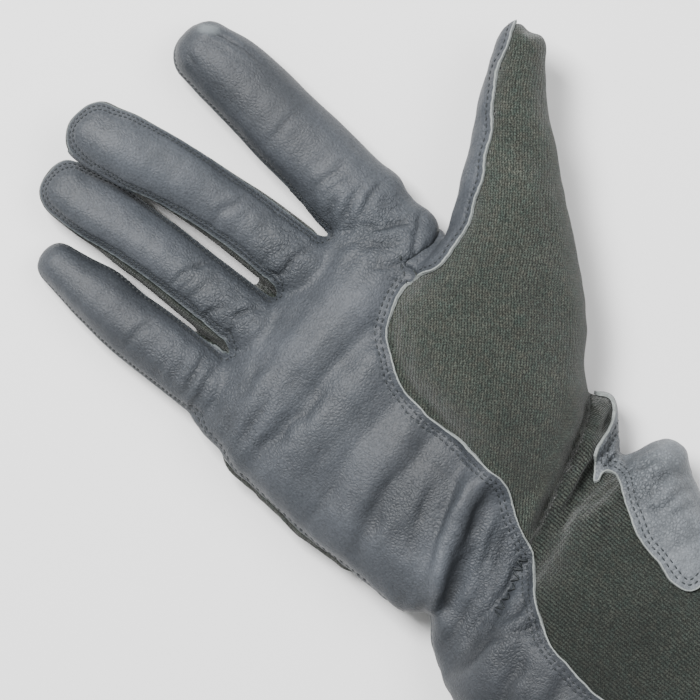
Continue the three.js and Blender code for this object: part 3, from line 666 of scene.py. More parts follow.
# %% [markdown]
# The leather covers what lies inside its outlines, and the knit covers the rest. The knit also runs
# on under the leather for a few millimetres, as a real seam allowance does, so no gap can open.

# %% Sort the faces into panels
ALLOWANCE = 3.2  # how far the knit runs on under the leather
OVERLAP = 2.6  # how far the other leathers run on under the palm
in_palm = side["palm"] > 0
in_front = (side["front"] > 0) & ~in_palm
in_patch = (side["patch"] > 0) & ~in_palm & ~in_front
leather = in_palm | in_front | in_patch
tucked = leather & (np.maximum.reduce([side["palm"], side["front"], side["patch"]]) < ALLOWANCE)
under_palm = in_palm & (side["palm"] < OVERLAP)
PANELS = {
    "palm_leather": in_palm,
    "thumb_leather": in_front | (under_palm & (side["front"] > 0)),
    "cuff_patch": in_patch | (under_palm & (side["patch"] > 0)),
    "thumb_knit": (~leather | tucked) & (side["thenar"] > 0),
    "back_knit": (~leather | tucked) & (side["thenar"] <= 0),
}
for name, chosen in PANELS.items():
    print(name, int(chosen.sum()), "faces")

# %% [markdown]
# The stitches follow the seams. A line at a chosen distance from the raw edge is traced across the
# skin's faces and chained into a path, and the stitches are spaced evenly along it.

# %% Where the rows run
_, finger_which, finger_across = finger_edge(skin_points)
on_finger = smooth_step(skin_points[:, 1], 50.0, 58.0)
raw_depth = np.maximum(fields["palm"], fields["front"])
JOINT = [(37, 21.5), (36, 28), (41, 26.5), (47, 24), (52.5, 25), (55.6, 28.3), (60.3, 33), (66, 36)]
from_joint = np.min([off_line(skin_points[:, :2], *a, *b)[0] for a, b in zip(JOINT, JOINT[1:])],
                    axis=0)
closed = 1 - smooth_step(from_joint, 2.6, 4.2)
row_values = [raw_depth - (2.3 - 1.0 * on_finger), raw_depth - (3.9 - 1.2 * on_finger)]
face_y = np.array([skin_points[list(f), 1].mean() for f in skin_faces])
face_closed = np.array([closed[list(f)].mean() for f in skin_faces])


# %% Trace a row and space its stitches
def trace(chosen, values):
    """Chains of points where the values are zero, over the chosen faces."""
    joined, spots = {}, {}
    for i in np.flatnonzero(chosen):
        face = skin_faces[i]
        cuts = []
        for a, b in zip(face, face[1:] + face[:1]):
            va, vb = values[a], values[b]
            if (va < 0) != (vb < 0):
                key = (min(a, b), max(a, b))
                t = va / (va - vb)
                spots[key] = skin_points[a] * (1 - t) + skin_points[b] * t
                cuts.append(key)
        if len(cuts) == 2:
            joined.setdefault(cuts[0], []).append(cuts[1])
            joined.setdefault(cuts[1], []).append(cuts[0])
    chains, seen = [], set()
    starts = [k for k, n in joined.items() if len(n) == 1] + list(joined)
    for start in starts:
        if start in seen:
            continue
        chain, here = [start], start
        seen.add(start)
        while True:
            onward = [k for k in joined[here] if k not in seen]
            if not onward:
                break
            here = onward[0]
            seen.add(here)
            chain.append(here)
        if len(chain) > 5:
            chains.append(np.array([spots[k] for k in chain]))
    return chains


def spaced(chain, pitch, share=0.74):
    """Start and end places of stitches along a chain, after its kinks are smoothed."""
    for _ in range(4):
        chain[1:-1] = (chain[:-2] + 2 * chain[1:-1] + chain[2:]) / 4
    run = np.concatenate([[0], np.cumsum(np.linalg.norm(np.diff(chain, axis=0), axis=1))])
    count = int(round(run[-1] / pitch))
    if count < 5:
        return []
    starts = (np.arange(count) + (1 - share) / 2) * run[-1] / count
    ends = starts + share * run[-1] / count
    return list(zip(*[np.column_stack([np.interp(at, run, chain[:, k]) for k in range(3)])
                      for at in (starts, ends)]))


def rows_of(chosen, values, pitch):
    return [span for chain in trace(chosen, values) for span in spaced(chain, pitch)]


# %% The rows of each leather
PITCH, FINGER_PITCH, FINGERS_FROM = 2.4, 1.7, 54.0
open_palm = in_palm & (face_closed < 0.3)
free = side["palm"] < -1.2
rows = {"palm": [], "thumb": [], "patch": []}
for values in row_values:
    rows["palm"] += rows_of(open_palm & (face_y < FINGERS_FROM), values, PITCH)
    on_leather = in_palm & (face_y >= FINGERS_FROM) & (side["palm"] < 9)
    rows["palm"] += rows_of(on_leather, values, FINGER_PITCH)
rows["thumb"] += rows_of(in_front & free, fields["front"] - 1.9, 2.3)
for inset in (2.1, 3.8):
    rows["patch"] += rows_of(in_patch & free, fields["patch"] - inset, PITCH)
for name, spans in rows.items():
    print(name, len(spans), "stitches")

# %% [markdown]
# A panel becomes a piece of its own, moved along the skin's normals. The leather stands proud,
# lifts a little at its raw edge and dips along its rows, deepest where each stitch pulls it down.
# The knit sinks under the leather and swells again a few millimetres away from it.

# %% Where each stitch pulls the leather down
pulls = KDTree(sum(len(spans) for spans in rows.values()))
for spans in rows.values():
    for start, end in spans:
        pulls.insert(Vector((start + end) / 2), 0)
pulls.balance()
near_edge = np.flatnonzero(np.maximum(raw_depth, fields["patch"]) > -0.1)
pucker = np.zeros(len(skin_points))
for i in near_edge:
    if raw_depth[i] < 6.5 and (raw_depth[i] > -0.1 or fields["patch"][i] < 6.5):
        pucker[i] = math.exp(-(pulls.find(Vector(skin_points[i]))[2] / 0.8) ** 2)


# %% How far each panel stands off the skin
def leather_offset(inside, shut=0.0):
    """The lift of leather that far inside its raw edge. Shut is 1 where the edge is sewn closed."""
    lift = 0.18 + 0.3 * smooth_step(inside, 4.5, 9.0) + 0.3 * np.exp(-(inside / 0.8) ** 2) * (1 - shut)
    channel = np.minimum(*[np.abs(values) for values in row_values])
    return lift - 0.14 * np.exp(-(channel / 0.8) ** 2) * (1 - shut) - 0.30 * pucker


def knit_offset(outside):
    """The height of knit that far from the leather, with its bulges on the little finger's side."""
    y = skin_points[:, 1]
    wall = (finger_which == 2) * smooth_step(-finger_across, 0.5, 0.9) * smooth_step(y, 54.0, 64.0)
    wall = wall * (1 - smooth_step(y, 96.0, 112.0)) + 3.0 * knit_strip(skin_points)
    share = outside / (12.0 - 9.6 * on_finger)
    swell = (0.7 + 0.25 * on_finger) * smooth_step(share, -0.03, 1.0)
    return -0.85 + swell + wall * smooth_step(outside, -0.2, 1.3)


# %% Shape one panel
def build_panel(name, chosen, offset, thickness, materials, **attributes):
    """A panel with an inner face, and a rim that shows the cut edge."""
    outer = [skin_faces[i] for i in np.flatnonzero(chosen)]
    used = np.unique(np.concatenate([np.array(f) for f in outer]))
    place = {int(old): new for new, old in enumerate(used)}
    outer = [[place[i] for i in f] for f in outer]
    count = len(used)
    top = (skin_points + skin_normals * offset[:, None])[used]
    top[:, 2] = np.maximum(top[:, 2], 0.05)
    base = top - skin_normals[used] * thickness
    base[:, 2] = np.maximum(base[:, 2], 0.02)
    met = {}
    for f in outer:
        for i, j in zip(f, f[1:] + f[:1]):
            met[(i, j)] = met.get((i, j), 0) + 1
    rim = [(j, i, i + count, j + count) for (i, j) in met if (j, i) not in met]
    inner = [[i + count for i in reversed(f)] for f in outer]
    made = bpy.data.meshes.new(name)
    points = np.concatenate([top, base]) * MM
    made.from_pydata([tuple(p) for p in points], [], outer + inner + rim)
    for key, values in attributes.items():
        kind = "FLOAT_VECTOR" if values.ndim == 2 else "FLOAT"
        attribute = made.attributes.new(key, kind, "POINT")
        both = np.concatenate([values[used], values[used]])
        attribute.data.foreach_set("vector" if values.ndim == 2 else "value", both.ravel())
    for material in materials:
        made.materials.append(material)
    if len(materials) > 1:
        indices = [0] * (2 * len(outer)) + [1] * len(rim)
        made.polygons.foreach_set("material_index", indices)
    made.polygons.foreach_set("use_smooth", [True] * (2 * len(outer)) + [False] * len(rim))
    made.update()
    piece = place_object(name, made)
    area = sum(p.area for p in made.polygons[:len(outer)])
    unseen = (attributes["edge_mm"][used] < -1.2) | (top[:, 2] < 0.3)
    group = piece.vertex_groups.new(name="unseen")
    group.add(list(range(count, 2 * count)), 1.0, "REPLACE")
    group.add([int(i) for i in np.flatnonzero(unseen)], 1.0, "REPLACE")
    return piece, area


def triangles(piece):
    return sum(len(p.vertices) - 2 for p in piece.data.polygons)


def lighten(piece, most):
    """Fewer triangles on the inner face and the underside, which are plain and mostly hidden."""
    share = most / triangles(piece)
    if share < 1:
        fewer = piece.modifiers.new("fewer", "DECIMATE")
        fewer.ratio = share
        fewer.vertex_group = "unseen"
        bpy.context.view_layer.objects.active = piece
        bpy.ops.object.modifier_apply(modifier=fewer.name)
    piece.vertex_groups.clear()


# %% [markdown]
# The knit's ribs follow the cloth, not space, so each point of the knit gets its own two
# coordinates in millimetres: across the ribs, unrolled round the limb, and along the limb.

# %% Unroll the limbs
def unrolled(off, half, z, low, high, left_free=1.0):
    """The way round a tube, from the middle of its top or of its underside."""
    steep = smooth_step(np.abs(off) / half, 0.6, 0.97) * np.where(off < 0, left_free, 1.0)
    tall = (high - low) / 2
    drop = np.where(z > (high + low) / 2, high - z, z - low)
    return off + np.sign(off) * np.clip(drop, 0, tall) * steep


def knit_coordinates(points):
    y = np.clip(points[:, 1], HAND[0][0], HAND[-1][0])
    left, right, high = spline(HAND, y).T
    middle, half = (left + right) / 2, (right - left) / 2
    u = middle + unrolled(points[:, 0] - middle, half, points[:, 2], 0.0, high)
    v = points[:, 1].copy()
    for k, name in enumerate(FINGERS):
        limb = LIMBS[name]
        chosen = (points[:, 1] > 52.0) & (finger_which == k)
        shift, wide, low, high, _, _ = section_at(limb, points[chosen, 1] - limb["web"][1])
        centre = limb["web"][0] + shift
        u[chosen] = centre + unrolled(points[chosen, 0] - centre, wide, points[chosen, 2], low, high)
    limb = LIMBS["thumb"]
    forward, sideways = axes_of(limb)
    chosen = fields["thenar"] > 0
    off_web = points[chosen, :2] - np.array(limb["web"])
    at = off_web @ forward
    shift, wide, low, high, _, _ = section_at(limb, at)
    off = off_web @ sideways - (shift + 2.5) * smooth_step(at, -30.0, 10.0)
    u[chosen] = unrolled(off, wide, points[chosen, 2], low, high, smooth_step(at, -4.0, 8.0))
    v[chosen] = at
    return np.column_stack([u, v, np.zeros(len(u))])


wale = knit_coordinates(skin_points)

# %% [markdown]
# Every material is a tree of nodes. One small function adds a node with its settings and links, and
# hands back one of its outputs. Another turns the sRGB colours that the eye reads off into the
# linear ones that light needs.

# %% Nodes and colours
# The two colours of a Mix node are its inputs 6 and 7, and its mixed colour is its output 2.
BLEND = dict(data_type="RGBA")
TINT = dict(data_type="RGBA", blend_type="MULTIPLY")


def linear(colour):
    """A hex colour, or a number for a grey, as linear red, green, blue and alpha."""
    if not isinstance(colour, str):
        return colour, colour, colour, 1.0
    values = [int(colour[i:i + 2], 16) / 255 for i in (1, 3, 5)]
    return tuple(c / 12.92 if c <= 0.04045 else ((c + 0.055) / 1.055) ** 2.4 for c in values) + (1.0,)


def node(tree, kind, inputs=(), output=0, stops=(), **settings):
    """Adds a node. Its kind may end in an operation, and each input is a link or a value."""
    kind, _, operation = kind.partition(" ")
    made = tree.nodes.new("ShaderNode" + kind)
    if operation:
        made.operation = operation
    for key, value in settings.items():
        setattr(made, key, value)
    for key, item in inputs.items() if isinstance(inputs, dict) else enumerate(inputs):
        if isinstance(item, bpy.types.NodeSocket):
            tree.links.new(item, made.inputs[key])
        else:
            made.inputs[key].default_value = linear(item) if isinstance(item, str) else item
    if stops:
        colours = made.color_ramp.elements
        while len(colours) < len(stops):
            colours.new(0.5)
        for element, (place, colour) in zip(colours, stops):
            element.position = place
            element.color = linear(colour)
    return made.outputs[output] if made.outputs else made


def new_material(name):
    """A material, and the function that adds nodes to it."""
    material = bpy.data.materials.new(name)
    material.use_nodes = True
    material.node_tree.nodes.clear()
    return material, functools.partial(node, material.node_tree)


# %% [markdown]
# The palm is thin full-grain goatskin, dyed grey and left with a soft satin finish. Its grain is a
# pebble of about a millimetre with fine creases between, coarsened here so that it can be seen.
# Where the leather is crumpled the creases open, and painted shade darkens its wrinkles. Along a raw edge
# the pale fibres show.

# %% Goatskin
def fibre_colour(add, pale):
    """Cut fibres are pale round the palm, and darker grey on the fingers and at their roots."""
    grey_fibre_share = add("Attribute", output="Fac", attribute_name="grey_fibre_share")
    return add("Mix", {0: grey_fibre_share, 6: pale, 7: "#4f5557"}, 2, **BLEND)


def grey_goatskin(name, dark, light):
    material, add = new_material(name)
    place = add("TexCoord", output="Object")
    relief_mm, crumpled, tip_highlight, edge = [add("Attribute", output="Fac", attribute_name=key)
                                         for key in ("relief_mm", "crumpled", "painted_tip_highlight", "edge_mm")]
    # spots of painted light and shade
    spot_shading = add("Attribute", output="Color", attribute_name="spot_light_and_shade")

    # the pebble of the grain, each between fine creases, on scales of some 7 mm
    drift = add("TexNoise", {"Vector": place, "Scale": 1 / 0.004, "Detail": 2}, "Color")
    bent = add("VectorMath MULTIPLY_ADD", [drift, (0.0016, 0.0016, 0.0016), place])
    pebble = add("TexVoronoi", {"Vector": bent, "Scale": 1 / 0.0012, "Randomness": 1}, "Distance",
                 feature="DISTANCE_TO_EDGE")
    pebble = add("Math MINIMUM", [add("Math MULTIPLY", [pebble, 3]), 1])
    scale = add("TexNoise", {"Vector": bent, "Scale": 1 / 0.007, "Detail": 5, "Roughness": 0.6,
                             "Lacunarity": 2.3}, "Fac", noise_type="RIDGED_MULTIFRACTAL")
    scale = add("Math SUBTRACT", [1, add("Math MULTIPLY", [scale, 0.55], use_clamp=True)])
    grain = add("Math MULTIPLY", [pebble, scale])
    pore = add("TexNoise", {"Vector": place, "Scale": 1 / 0.0008, "Detail": 3, "Roughness": 0.65}, "Fac")

    # wrinkles of some 4 mm, in patches and where the leather is crumpled, pressed in as bumps and
    # darkened with painted shade
    broad = add("TexNoise", {"Vector": place, "Scale": 1 / 0.006, "Detail": 4}, "Color")
    swept = add("VectorMath MULTIPLY_ADD", [broad, (0.007, 0.007, 0.007), place])
    wrinkle = add("TexVoronoi", {"Vector": swept, "Scale": 1 / 0.0036, "Randomness": 1}, "Distance",
                  feature="DISTANCE_TO_EDGE")
    wrinkle = add("ValToRGB", [wrinkle], stops=[(0, 1), (0.08, 0)])
    patchy = add("TexNoise", {"Vector": place, "Scale": 1 / 0.012, "Detail": 2}, "Fac")
    patchy = add("ValToRGB", [patchy], stops=[(0.44, 0), (0.66, 1)])
    wrinkle = add("Math MULTIPLY", [wrinkle, patchy])
    wrinkle = add("Math MULTIPLY", [wrinkle, add("Math ADD", [crumpled, 0.3])], use_clamp=True)

    # the dye is cloudy and darker in the grain's lines; painted shade darkens the valleys and painted
    # light the ridges, spots of painted light and shade lie over it, and a painted highlight sits on one
    # fingertip
    cloud = add("TexNoise", {"Vector": place, "Scale": 1 / 0.024, "Detail": 5, "Roughness": 0.6}, "Fac")
    colour = add("ValToRGB", [cloud], stops=[(0.3, dark), (0.7, light)])
    lines = add("Math MULTIPLY", [add("Math SUBTRACT", [1, grain]), add("Math ADD", [crumpled, 0.12])])
    lines = add("Math MULTIPLY", [lines, 0.5], use_clamp=True)
    colour = add("Mix", {0: lines, 6: colour, 7: "#34383c"}, 2, **BLEND)
    # painted shade in the valleys and painted light on the ridges, read from the relief
    relief_shading = add("Math MULTIPLY_ADD", [relief_mm, 0.5, 0.5])
    relief_shading = add("ValToRGB", [relief_shading], stops=[(0.1, "#8e8e8e"), (0.5, "#c6c6c6"), (0.9, "#e8e8e8")])
    fine = add("ValToRGB", [pore], stops=[(0.32, 0.74), (0.5, 1), (0.68, 1.24)])
    for share, tint in ((0.55, relief_shading), (1, spot_shading), (1, fine)):
        colour = add("Mix", {0: share, 6: colour, 7: tint}, 2, **TINT)
    raw = add("Math ADD", [edge, add("Math MULTIPLY", [pore, 0.5])])
    raw = add("Math LESS_THAN", [raw, 0.72])
    # painted shade in the wrinkles, the painted highlight on the index fingertip, and the pale cut fibres
    # along a raw edge
    for share, cover in ((add("Math MULTIPLY", [wrinkle, 0.3]), "#24282b"),
                         (add("Math MULTIPLY", [tip_highlight, 0.36]), "#8d9598"),
                         (raw, fibre_colour(add, "#7f8482"))):
        colour = add("Mix", {0: share, 6: colour, 7: cover}, 2, **BLEND)

    relief = add("Math MULTIPLY_ADD", [crumpled, 0.6, 0.3])
    height = add("Math MULTIPLY", [grain, relief])
    height = add("Math ADD", [height, add("Math MULTIPLY", [pore, 0.5])])
    height = add("Math SUBTRACT", [height, add("Math MULTIPLY", [wrinkle, 0.6])])
    bump = add("Bump", {"Height": height, "Strength": 0.8, "Distance": 0.00028})
    rough = add("ValToRGB", [cloud], stops=[(0.3, 0.5), (0.75, 0.6)])
    shader = add("BsdfPrincipled", {"Base Color": colour, "Roughness": rough, "Normal": bump,
                                    "IOR": 1.5, "Specular IOR Level": 0.36})
    add("OutputMaterial", {"Surface": shader})
    return material


# %% Cut edge of the hide
def cut_leather_edge():
    """Pale matt fibres with no finish."""
    material, add = new_material("cut_leather_edge")
    place = add("TexCoord", output="Object")
    fibre = add("TexNoise", {"Vector": place, "Scale": 1 / 0.0007, "Detail": 2}, "Fac")
    pale = add("ValToRGB", [fibre], stops=[(0.3, "#6e7372"), (0.7, "#8f9492")])
    bump = add("Bump", {"Height": fibre, "Strength": 0.6, "Distance": 0.0002})
    shader = add("BsdfPrincipled", {"Base Color": fibre_colour(add, pale), "Roughness": 0.92,
                                    "Normal": bump})
    add("OutputMaterial", {"Surface": shader})
    return material


# %% [markdown]
# The knit is a fine flame-resistant aramid jersey, dark sage green. Its ribs, called wales, stand
# about 1 mm apart, and each is a chain of loops with a pit between neighbours, darkened with painted
# shade. Both are drawn from the unrolled coordinates, which are in millimetres. The yarn is a blend,
# so its green and brown fibres fleck the colour, and stray fibres blur the ribs.

# %% Ribbed knit
def aramid_knit(name, green, brown, pitch):
    material, add = new_material(name)
    place = add("TexCoord", output="Object")
    cloth = add("Attribute", output="Vector", attribute_name="wale")
    relief_mm, crumpled = [add("Attribute", output="Fac", attribute_name=key)
                           for key in ("relief_mm", "crumpled")]
    # spots of painted light and shade
    spot_shading = add("Attribute", output="Color", attribute_name="spot_light_and_shade")

    # ribs across the cloth, and loops along each rib
    across = add("SeparateXYZ", [cloth])
    along = across.node.outputs[1]
    wander = add("TexNoise", {"Vector": place, "Scale": 1 / 0.016, "Detail": 2}, "Fac")
    tremble = add("TexNoise", {"Vector": place, "Scale": 1 / 0.0016, "Detail": 1}, "Fac")
    across = add("Math ADD", [across, add("Math MULTIPLY", [wander, 1.2])])
    across = add("Math ADD", [across, add("Math MULTIPLY", [tremble, 0.9])])
    share = add("Math FRACT", [add("Math DIVIDE", [across, pitch])])
    fold = add("Math ABSOLUTE", [add("Math SUBTRACT", [share, 0.5])])
    rib = add("Math COSINE", [add("Math MULTIPLY", [fold, math.pi])])
    along = add("Math ADD", [along, add("Math MULTIPLY", [tremble, 0.7])])
    slant = add("Math ADD", [add("Math DIVIDE", [along, 0.85]), fold])
    loop = add("Math SINE", [add("Math MULTIPLY", [slant, 2 * math.pi])])
    loop = add("Math MULTIPLY", [add("Math ADD", [loop, 1]), 0.5])
    fuzz = add("TexNoise", {"Vector": place, "Scale": 1 / 0.00055, "Detail": 3, "Roughness": 0.85}, "Fac")
    height = add("Math ADD", [add("Math MULTIPLY", [rib, 0.65]), add("Math MULTIPLY", [loop, 0.32])])
    height = add("Math ADD", [height, fuzz])

    # flecked yarn, with painted light on its ribs, painted shade in its pits and in the cloth's valleys,
    # and spots of painted light and shade
    fleck = add("TexNoise", {"Vector": place, "Scale": 1 / 0.0028, "Detail": 6, "Roughness": 0.8}, "Fac")
    colour = add("ValToRGB", [fleck], stops=[(0.38, green), (0.62, brown)])
    shade = add("ValToRGB", [add("Math MULTIPLY", [height, 0.5])],
                stops=[(0.3, 0.4), (0.62, 1), (0.95, 1.6)])
    speck = add("ValToRGB", [fuzz], stops=[(0.36, 0.4), (0.5, 1), (0.64, 2)])
    for tint in (shade, speck):
        colour = add("Mix", {0: 1, 6: colour, 7: tint}, 2, **TINT)
    # painted shade in the pits between the loops
    groove = add("ValToRGB", [rib], stops=[(0.12, 1), (0.62, 0)])
    gap = add("ValToRGB", [loop], stops=[(0.25, 0.95), (0.8, 0.1)])
    pit = add("Math MULTIPLY", [groove, gap])
    colour = add("Mix", {0: pit, 6: colour, 7: "#0c0f0d"}, 2, **BLEND)
    # painted light and shade on the ribs, stronger where the cloth is crumpled
    crumpled_rib_shading = add("ValToRGB", [rib], stops=[(0.25, 0.25), (0.9, 1.35)])
    cloud = add("TexNoise", {"Vector": place, "Scale": 1 / 0.02, "Detail": 3}, "Fac")
    cloudy = add("ValToRGB", [cloud], stops=[(0.3, 0.88), (0.7, 1.1)])
    # painted shade in the cloth's valleys and a little painted light on its rises
    relief_shading = add("Math MULTIPLY_ADD", [relief_mm, 0.25, 0.75])
    valley_shade = add("ValToRGB", [relief_shading], stops=[(0, 0.35), (0.75, 1), (1, 1.15)])
    for share, tint in ((crumpled, crumpled_rib_shading), (1, cloudy), (1, spot_shading), (1, valley_shade)):
        colour = add("Mix", {0: share, 6: colour, 7: tint}, 2, **TINT)

    bump = add("Bump", {"Height": height, "Strength": 0.8, "Distance": 0.00035})
    shader = add("BsdfPrincipled", {"Base Color": colour, "Roughness": 0.92, "Normal": bump,
                                    "Sheen Weight": 0.2, "Sheen Roughness": 0.5,
                                    "Specular IOR Level": 0.2})
    add("OutputMaterial", {"Surface": shader})
    return material


# %% Thread
def bonded_thread():
    """Dark bonded sewing thread: smooth, slightly shiny filament with a fine twist."""
    material, add = new_material("bonded_thread")
    place = add("TexCoord", output="Object")
    twist = add("TexNoise", {"Vector": place, "Scale": 1 / 0.0006, "Detail": 1}, "Fac")
    colour = add("ValToRGB", [twist], stops=[(0.3, "#15191b"), (0.7, "#262b2e")])
    bump = add("Bump", {"Height": twist, "Strength": 0.4, "Distance": 0.0001})
    shader = add("BsdfPrincipled", {"Base Color": colour, "Roughness": 0.6, "Normal": bump})
    add("OutputMaterial", {"Surface": shader})
    return material


# %% Make the materials
goatskin = grey_goatskin("grey_goatskin", "#3c4045", "#4b4f55")
# The cuff patch gets a paler copy of the goatskin: painted light on the side of the glove that faces the
# fill lamp.
lit_patch_goatskin = grey_goatskin("grey_goatskin_patch_lit", "#676c71", "#787d82")
raw_edge = cut_leather_edge()
knit = aramid_knit("sage_aramid_knit", "#2d3530", "#373832", 0.92)
dark_knit = aramid_knit("sage_aramid_knit_back", "#242b27", "#2c2e29", 1.08)
thread = bonded_thread()
print(len(bpy.data.materials), "materials")

# %% [markdown]
# Now the panels can be made, each from its faces, its lift off the skin, its distance from the raw
# edge, its materials, its thickness and the most triangles it may have. Every point also carries
# what the materials read.

# %% Make the five panels
LEATHER, KNIT = 1.0, 0.9  # thickness
NO_EDGE = 9.0  # the distance given where a raw edge is sewn out of sight
patch_depth = np.minimum(fields["patch"], -fields["palm"])
outside = -np.maximum.reduce([fields["palm"], fields["front"], fields["patch"]])
joint = 0.7 * (np.exp(-fields["palm"] ** 2) * closed)
under = 0.9 * smooth_step(fields["palm"], -0.6, 0.4)
shapes = {
    "palm_leather": (leather_offset(raw_depth, closed) - joint,
                     np.where(closed > 0.5, NO_EDGE, raw_depth), [goatskin, raw_edge], LEATHER, 150000),
    "thumb_leather": (leather_offset(np.maximum(fields["front"], 0.0)) - joint - under,
                      np.where(fields["palm"] > -0.8, NO_EDGE, fields["front"]),
                      [goatskin, raw_edge], LEATHER, 90000),
    "cuff_patch": (leather_offset(np.abs(patch_depth)) - under, fields["patch"],
                   [lit_patch_goatskin, raw_edge], LEATHER, 90000),
    "thumb_knit": (knit_offset(outside), outside, [knit], KNIT, 90000),
    "back_knit": (knit_offset(outside), outside, [dark_knit], KNIT, 170000),
}
# the cut fibres are drawn darker grey on the fingers and across the roots of the middle, ring and little
# fingers
grey_fibre_share = 0.9 * smooth_step(skin_points[:, 1], 42.0, 50.0) * (skin_points[:, 0] < 34.0)
grey_fibre_share = np.maximum(grey_fibre_share, 0.9 * on_finger)
read_by_materials = dict(wale=wale, relief_mm=skin_relief, crumpled=crumple(skin_points),
                         painted_tip_highlight=painted_tip_highlight(skin_points), spot_light_and_shade=painted_light_spots_at(skin_points), grey_fibre_share=grey_fibre_share)
pieces, areas = {}, {}
for name, (offset, depth, materials, thickness, most) in shapes.items():
    piece, area = build_panel(name + "_panel", PANELS[name], offset, thickness, materials,
                              edge_mm=depth, **read_by_materials)
    before = triangles(piece)
    lighten(piece, most)
    pieces[name], areas[name] = piece, area
    print(name, "area", round(area * 1e4, 1), "cm2", before, "->", triangles(piece), "triangles")


# %% [markdown]
# One stitch is a bent capsule: the thread rises out of one hole and dips into the next. It is
# copied along the rows, each copy turned to lie on the leather under it.

# %% Lay the stitches
def stitch_shape(thick, sides=5):
    """A stitch of unit length: a ring at each share of it, with its own share of the thickness."""
    rings = []
    for share, fullness in ((-0.5, 0.3), (-0.36, 0.85), (0.0, 1.0), (0.36, 0.85), (0.5, 0.3)):
        swell = thick * fullness
        sink = -0.9 * thick * (abs(share) * 2) ** 3
        rings.append([(share, swell * math.cos(t), sink + swell * 0.8 * math.sin(t))
                      for t in np.linspace(0, 2 * math.pi, sides, endpoint=False)])
    points = np.array(rings).reshape(-1, 3)
    last = len(points) - sides
    faces = [(first + i, first + sides + i, first + sides + (i + 1) % sides, first + (i + 1) % sides)
             for first in range(0, last, sides) for i in range(sides)]
    return points, faces + [tuple(range(sides)), tuple(range(last + sides - 1, last - 1, -1))]


def lay_stitches(name, spans, surface, thick=0.25, lift=0.18):
    shape, shape_faces = stitch_shape(thick)
    all_points, all_faces = [], []
    for start, end in spans:
        hit, normal, _, _ = surface.find_nearest(Vector((start + end) / 2) * MM)
        if hit is None:
            continue
        along = end - start
        reach = np.linalg.norm(along)
        if reach < 0.3:
            continue
        up = np.array(normal)
        along = along / reach
        along = along - up * (along @ up)
        along = along / np.linalg.norm(along)
        across = np.cross(up, along)
        frame_of = np.column_stack([along * reach, across, up])
        placed = np.array(hit) / MM + up * lift + shape @ frame_of.T
        base = len(all_points) * len(shape)
        all_points.append(placed)
        all_faces += [tuple(base + i for i in f) for f in shape_faces]
    made = bpy.data.meshes.new(name)
    points = np.concatenate(all_points)
    made.from_pydata([tuple(p * MM) for p in points], [], all_faces)
    made.shade_smooth()
    made.materials.append(thread)
    return place_object(name, made)


# %% Draw stitches onto a surface
def surface_of(piece):
    return BVHTree.FromObject(piece, bpy.context.evaluated_depsgraph_get())


def drawn(path, pitch, surface):
    """Stitches along a path drawn in plan, brought down onto the surface."""
    spots = []
    for x, y in path:
        above = Vector((x, y, 80.0)) * MM
        hit = surface.ray_cast(above, Vector((0.0, 0.0, -1.0)))[0]
        spots.append(np.array(hit if hit is not None else surface.find_nearest(above)[0]) / MM)
    spans = []
    for a, b in zip(spots[:-1], spots[1:]):
        count = max(1, int(round(np.linalg.norm(b - a) / pitch)))
        for k in range(count):
            spans.append((a + (b - a) * (k + 0.12) / count, a + (b - a) * (k + 0.88) / count))
    return spans


bpy.context.view_layer.update()
palm_surface, thumb_surface, patch_surface = [
    surface_of(pieces[name]) for name in ("palm_leather", "thumb_leather", "cuff_patch")]
tack = drawn([(35.6, 26.2), (38.2, 30.4)], 2.2, palm_surface)
tack += drawn([(38.4, 30.0), (40.2, 25.4)], 2.2, palm_surface)
stitches = [lay_stitches("palm_stitches", rows["palm"] + tack, palm_surface),
            lay_stitches("thumb_stitches", rows["thumb"], thumb_surface),
            lay_stitches("patch_stitches", rows["patch"], patch_surface)]

# %% [markdown]
# At the wrist a strip of elastic is sewn inside. Only its zig-zag stitches show on the leather.

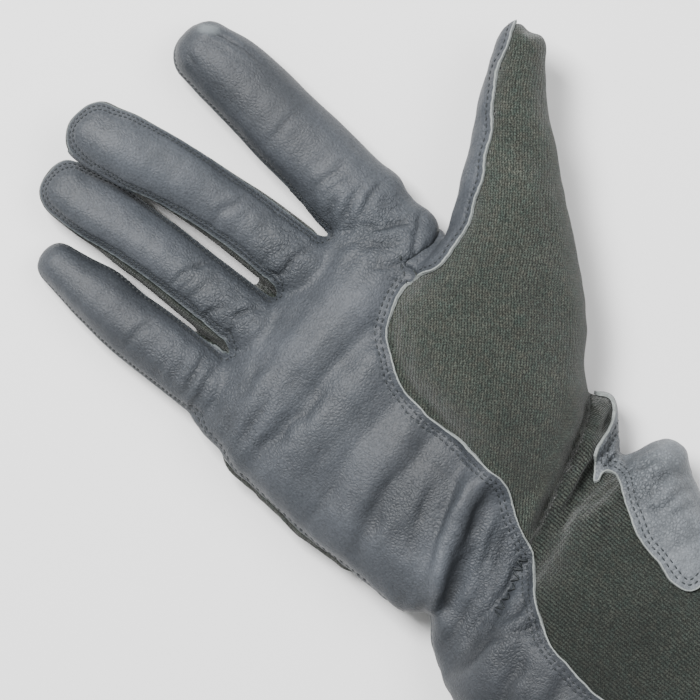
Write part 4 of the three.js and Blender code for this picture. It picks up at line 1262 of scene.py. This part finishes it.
# %% Zig-zag over the elastic
start, end = np.array([-31.0, -68.0]), np.array([-11.0, -63.5])
TURNS, SWING = 12, np.array([-0.2, 0.98]) * 2.1
zigzag = [start + (end - start) * k / TURNS + SWING * (1 if k % 2 else -1) for k in range(TURNS + 1)]
stitches.append(lay_stitches("elastic_stitches", drawn(zigzag, 5.0, palm_surface), palm_surface,
                             thick=0.38, lift=0.6))

# %% [markdown]
# Every piece rides on the one body, and each panel stands in for the CAD node of the same name.

# %% Hand the pieces to the frame
bpy.data.objects.remove(skin, do_unlink=True)
for name, piece in pieces.items():
    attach(piece, "root")
    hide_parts(name)
for piece in stitches:
    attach(piece, "root")

# %% [markdown]
# Each panel has the rectangle that it would be cut from, in metres, and the share of that
# rectangle which its outer face covers is printed. Each is sewn to its neighbours.

CUTS = {"palm_leather": (0.132, 0.33), "thumb_leather": (0.05, 0.1), "cuff_patch": (0.075, 0.075),
        "thumb_knit": (0.12, 0.145), "back_knit": (0.24, 0.33)}
for name, (wide, long) in CUTS.items():
    print(name, "share of its rectangle", round(areas[name] / (wide * long), 2))

# %% [markdown]
# A plain pale floor and soft studio light: a large lamp over the camera, a little to the upper
# left, so each finger is brightest along its middle and darker down its sides.

# %% Floor and light
bpy.ops.object.select_all(action="DESELECT")
bpy.ops.mesh.primitive_plane_add(size=6.0, location=(0.0, 0.0, 0.0))
floor = bpy.context.view_layer.objects.active
floor.name = "floor"
floor_material, add = new_material("pale_paper")
add("OutputMaterial", {"Surface": add("BsdfPrincipled", {"Base Color": linear(0.92), "Roughness": 0.95})})
floor.data.materials.append(floor_material)


def area_light(name, place, size, power):
    data = bpy.data.lights.new(name, "AREA")
    data.size = size
    data.energy = power
    light = place_object(name, data)
    light.location = place
    toward = Vector((0.0, 0.0, 0.02)) - Vector(place)
    light.rotation_euler = toward.to_track_quat("-Z", "Y").to_euler()


area_light("key", (0.1, 0.7, 1.25), 0.5, 42.0)
area_light("fill", (0.7, -0.35, 1.3), 0.9, 12.0)
world = bpy.data.worlds.new("studio")
world.use_nodes = True
sky = world.node_tree.nodes["Background"]
sky.inputs["Color"].default_value = linear(1.0)
sky.inputs["Strength"].default_value = 0.48
bpy.context.scene.world = world
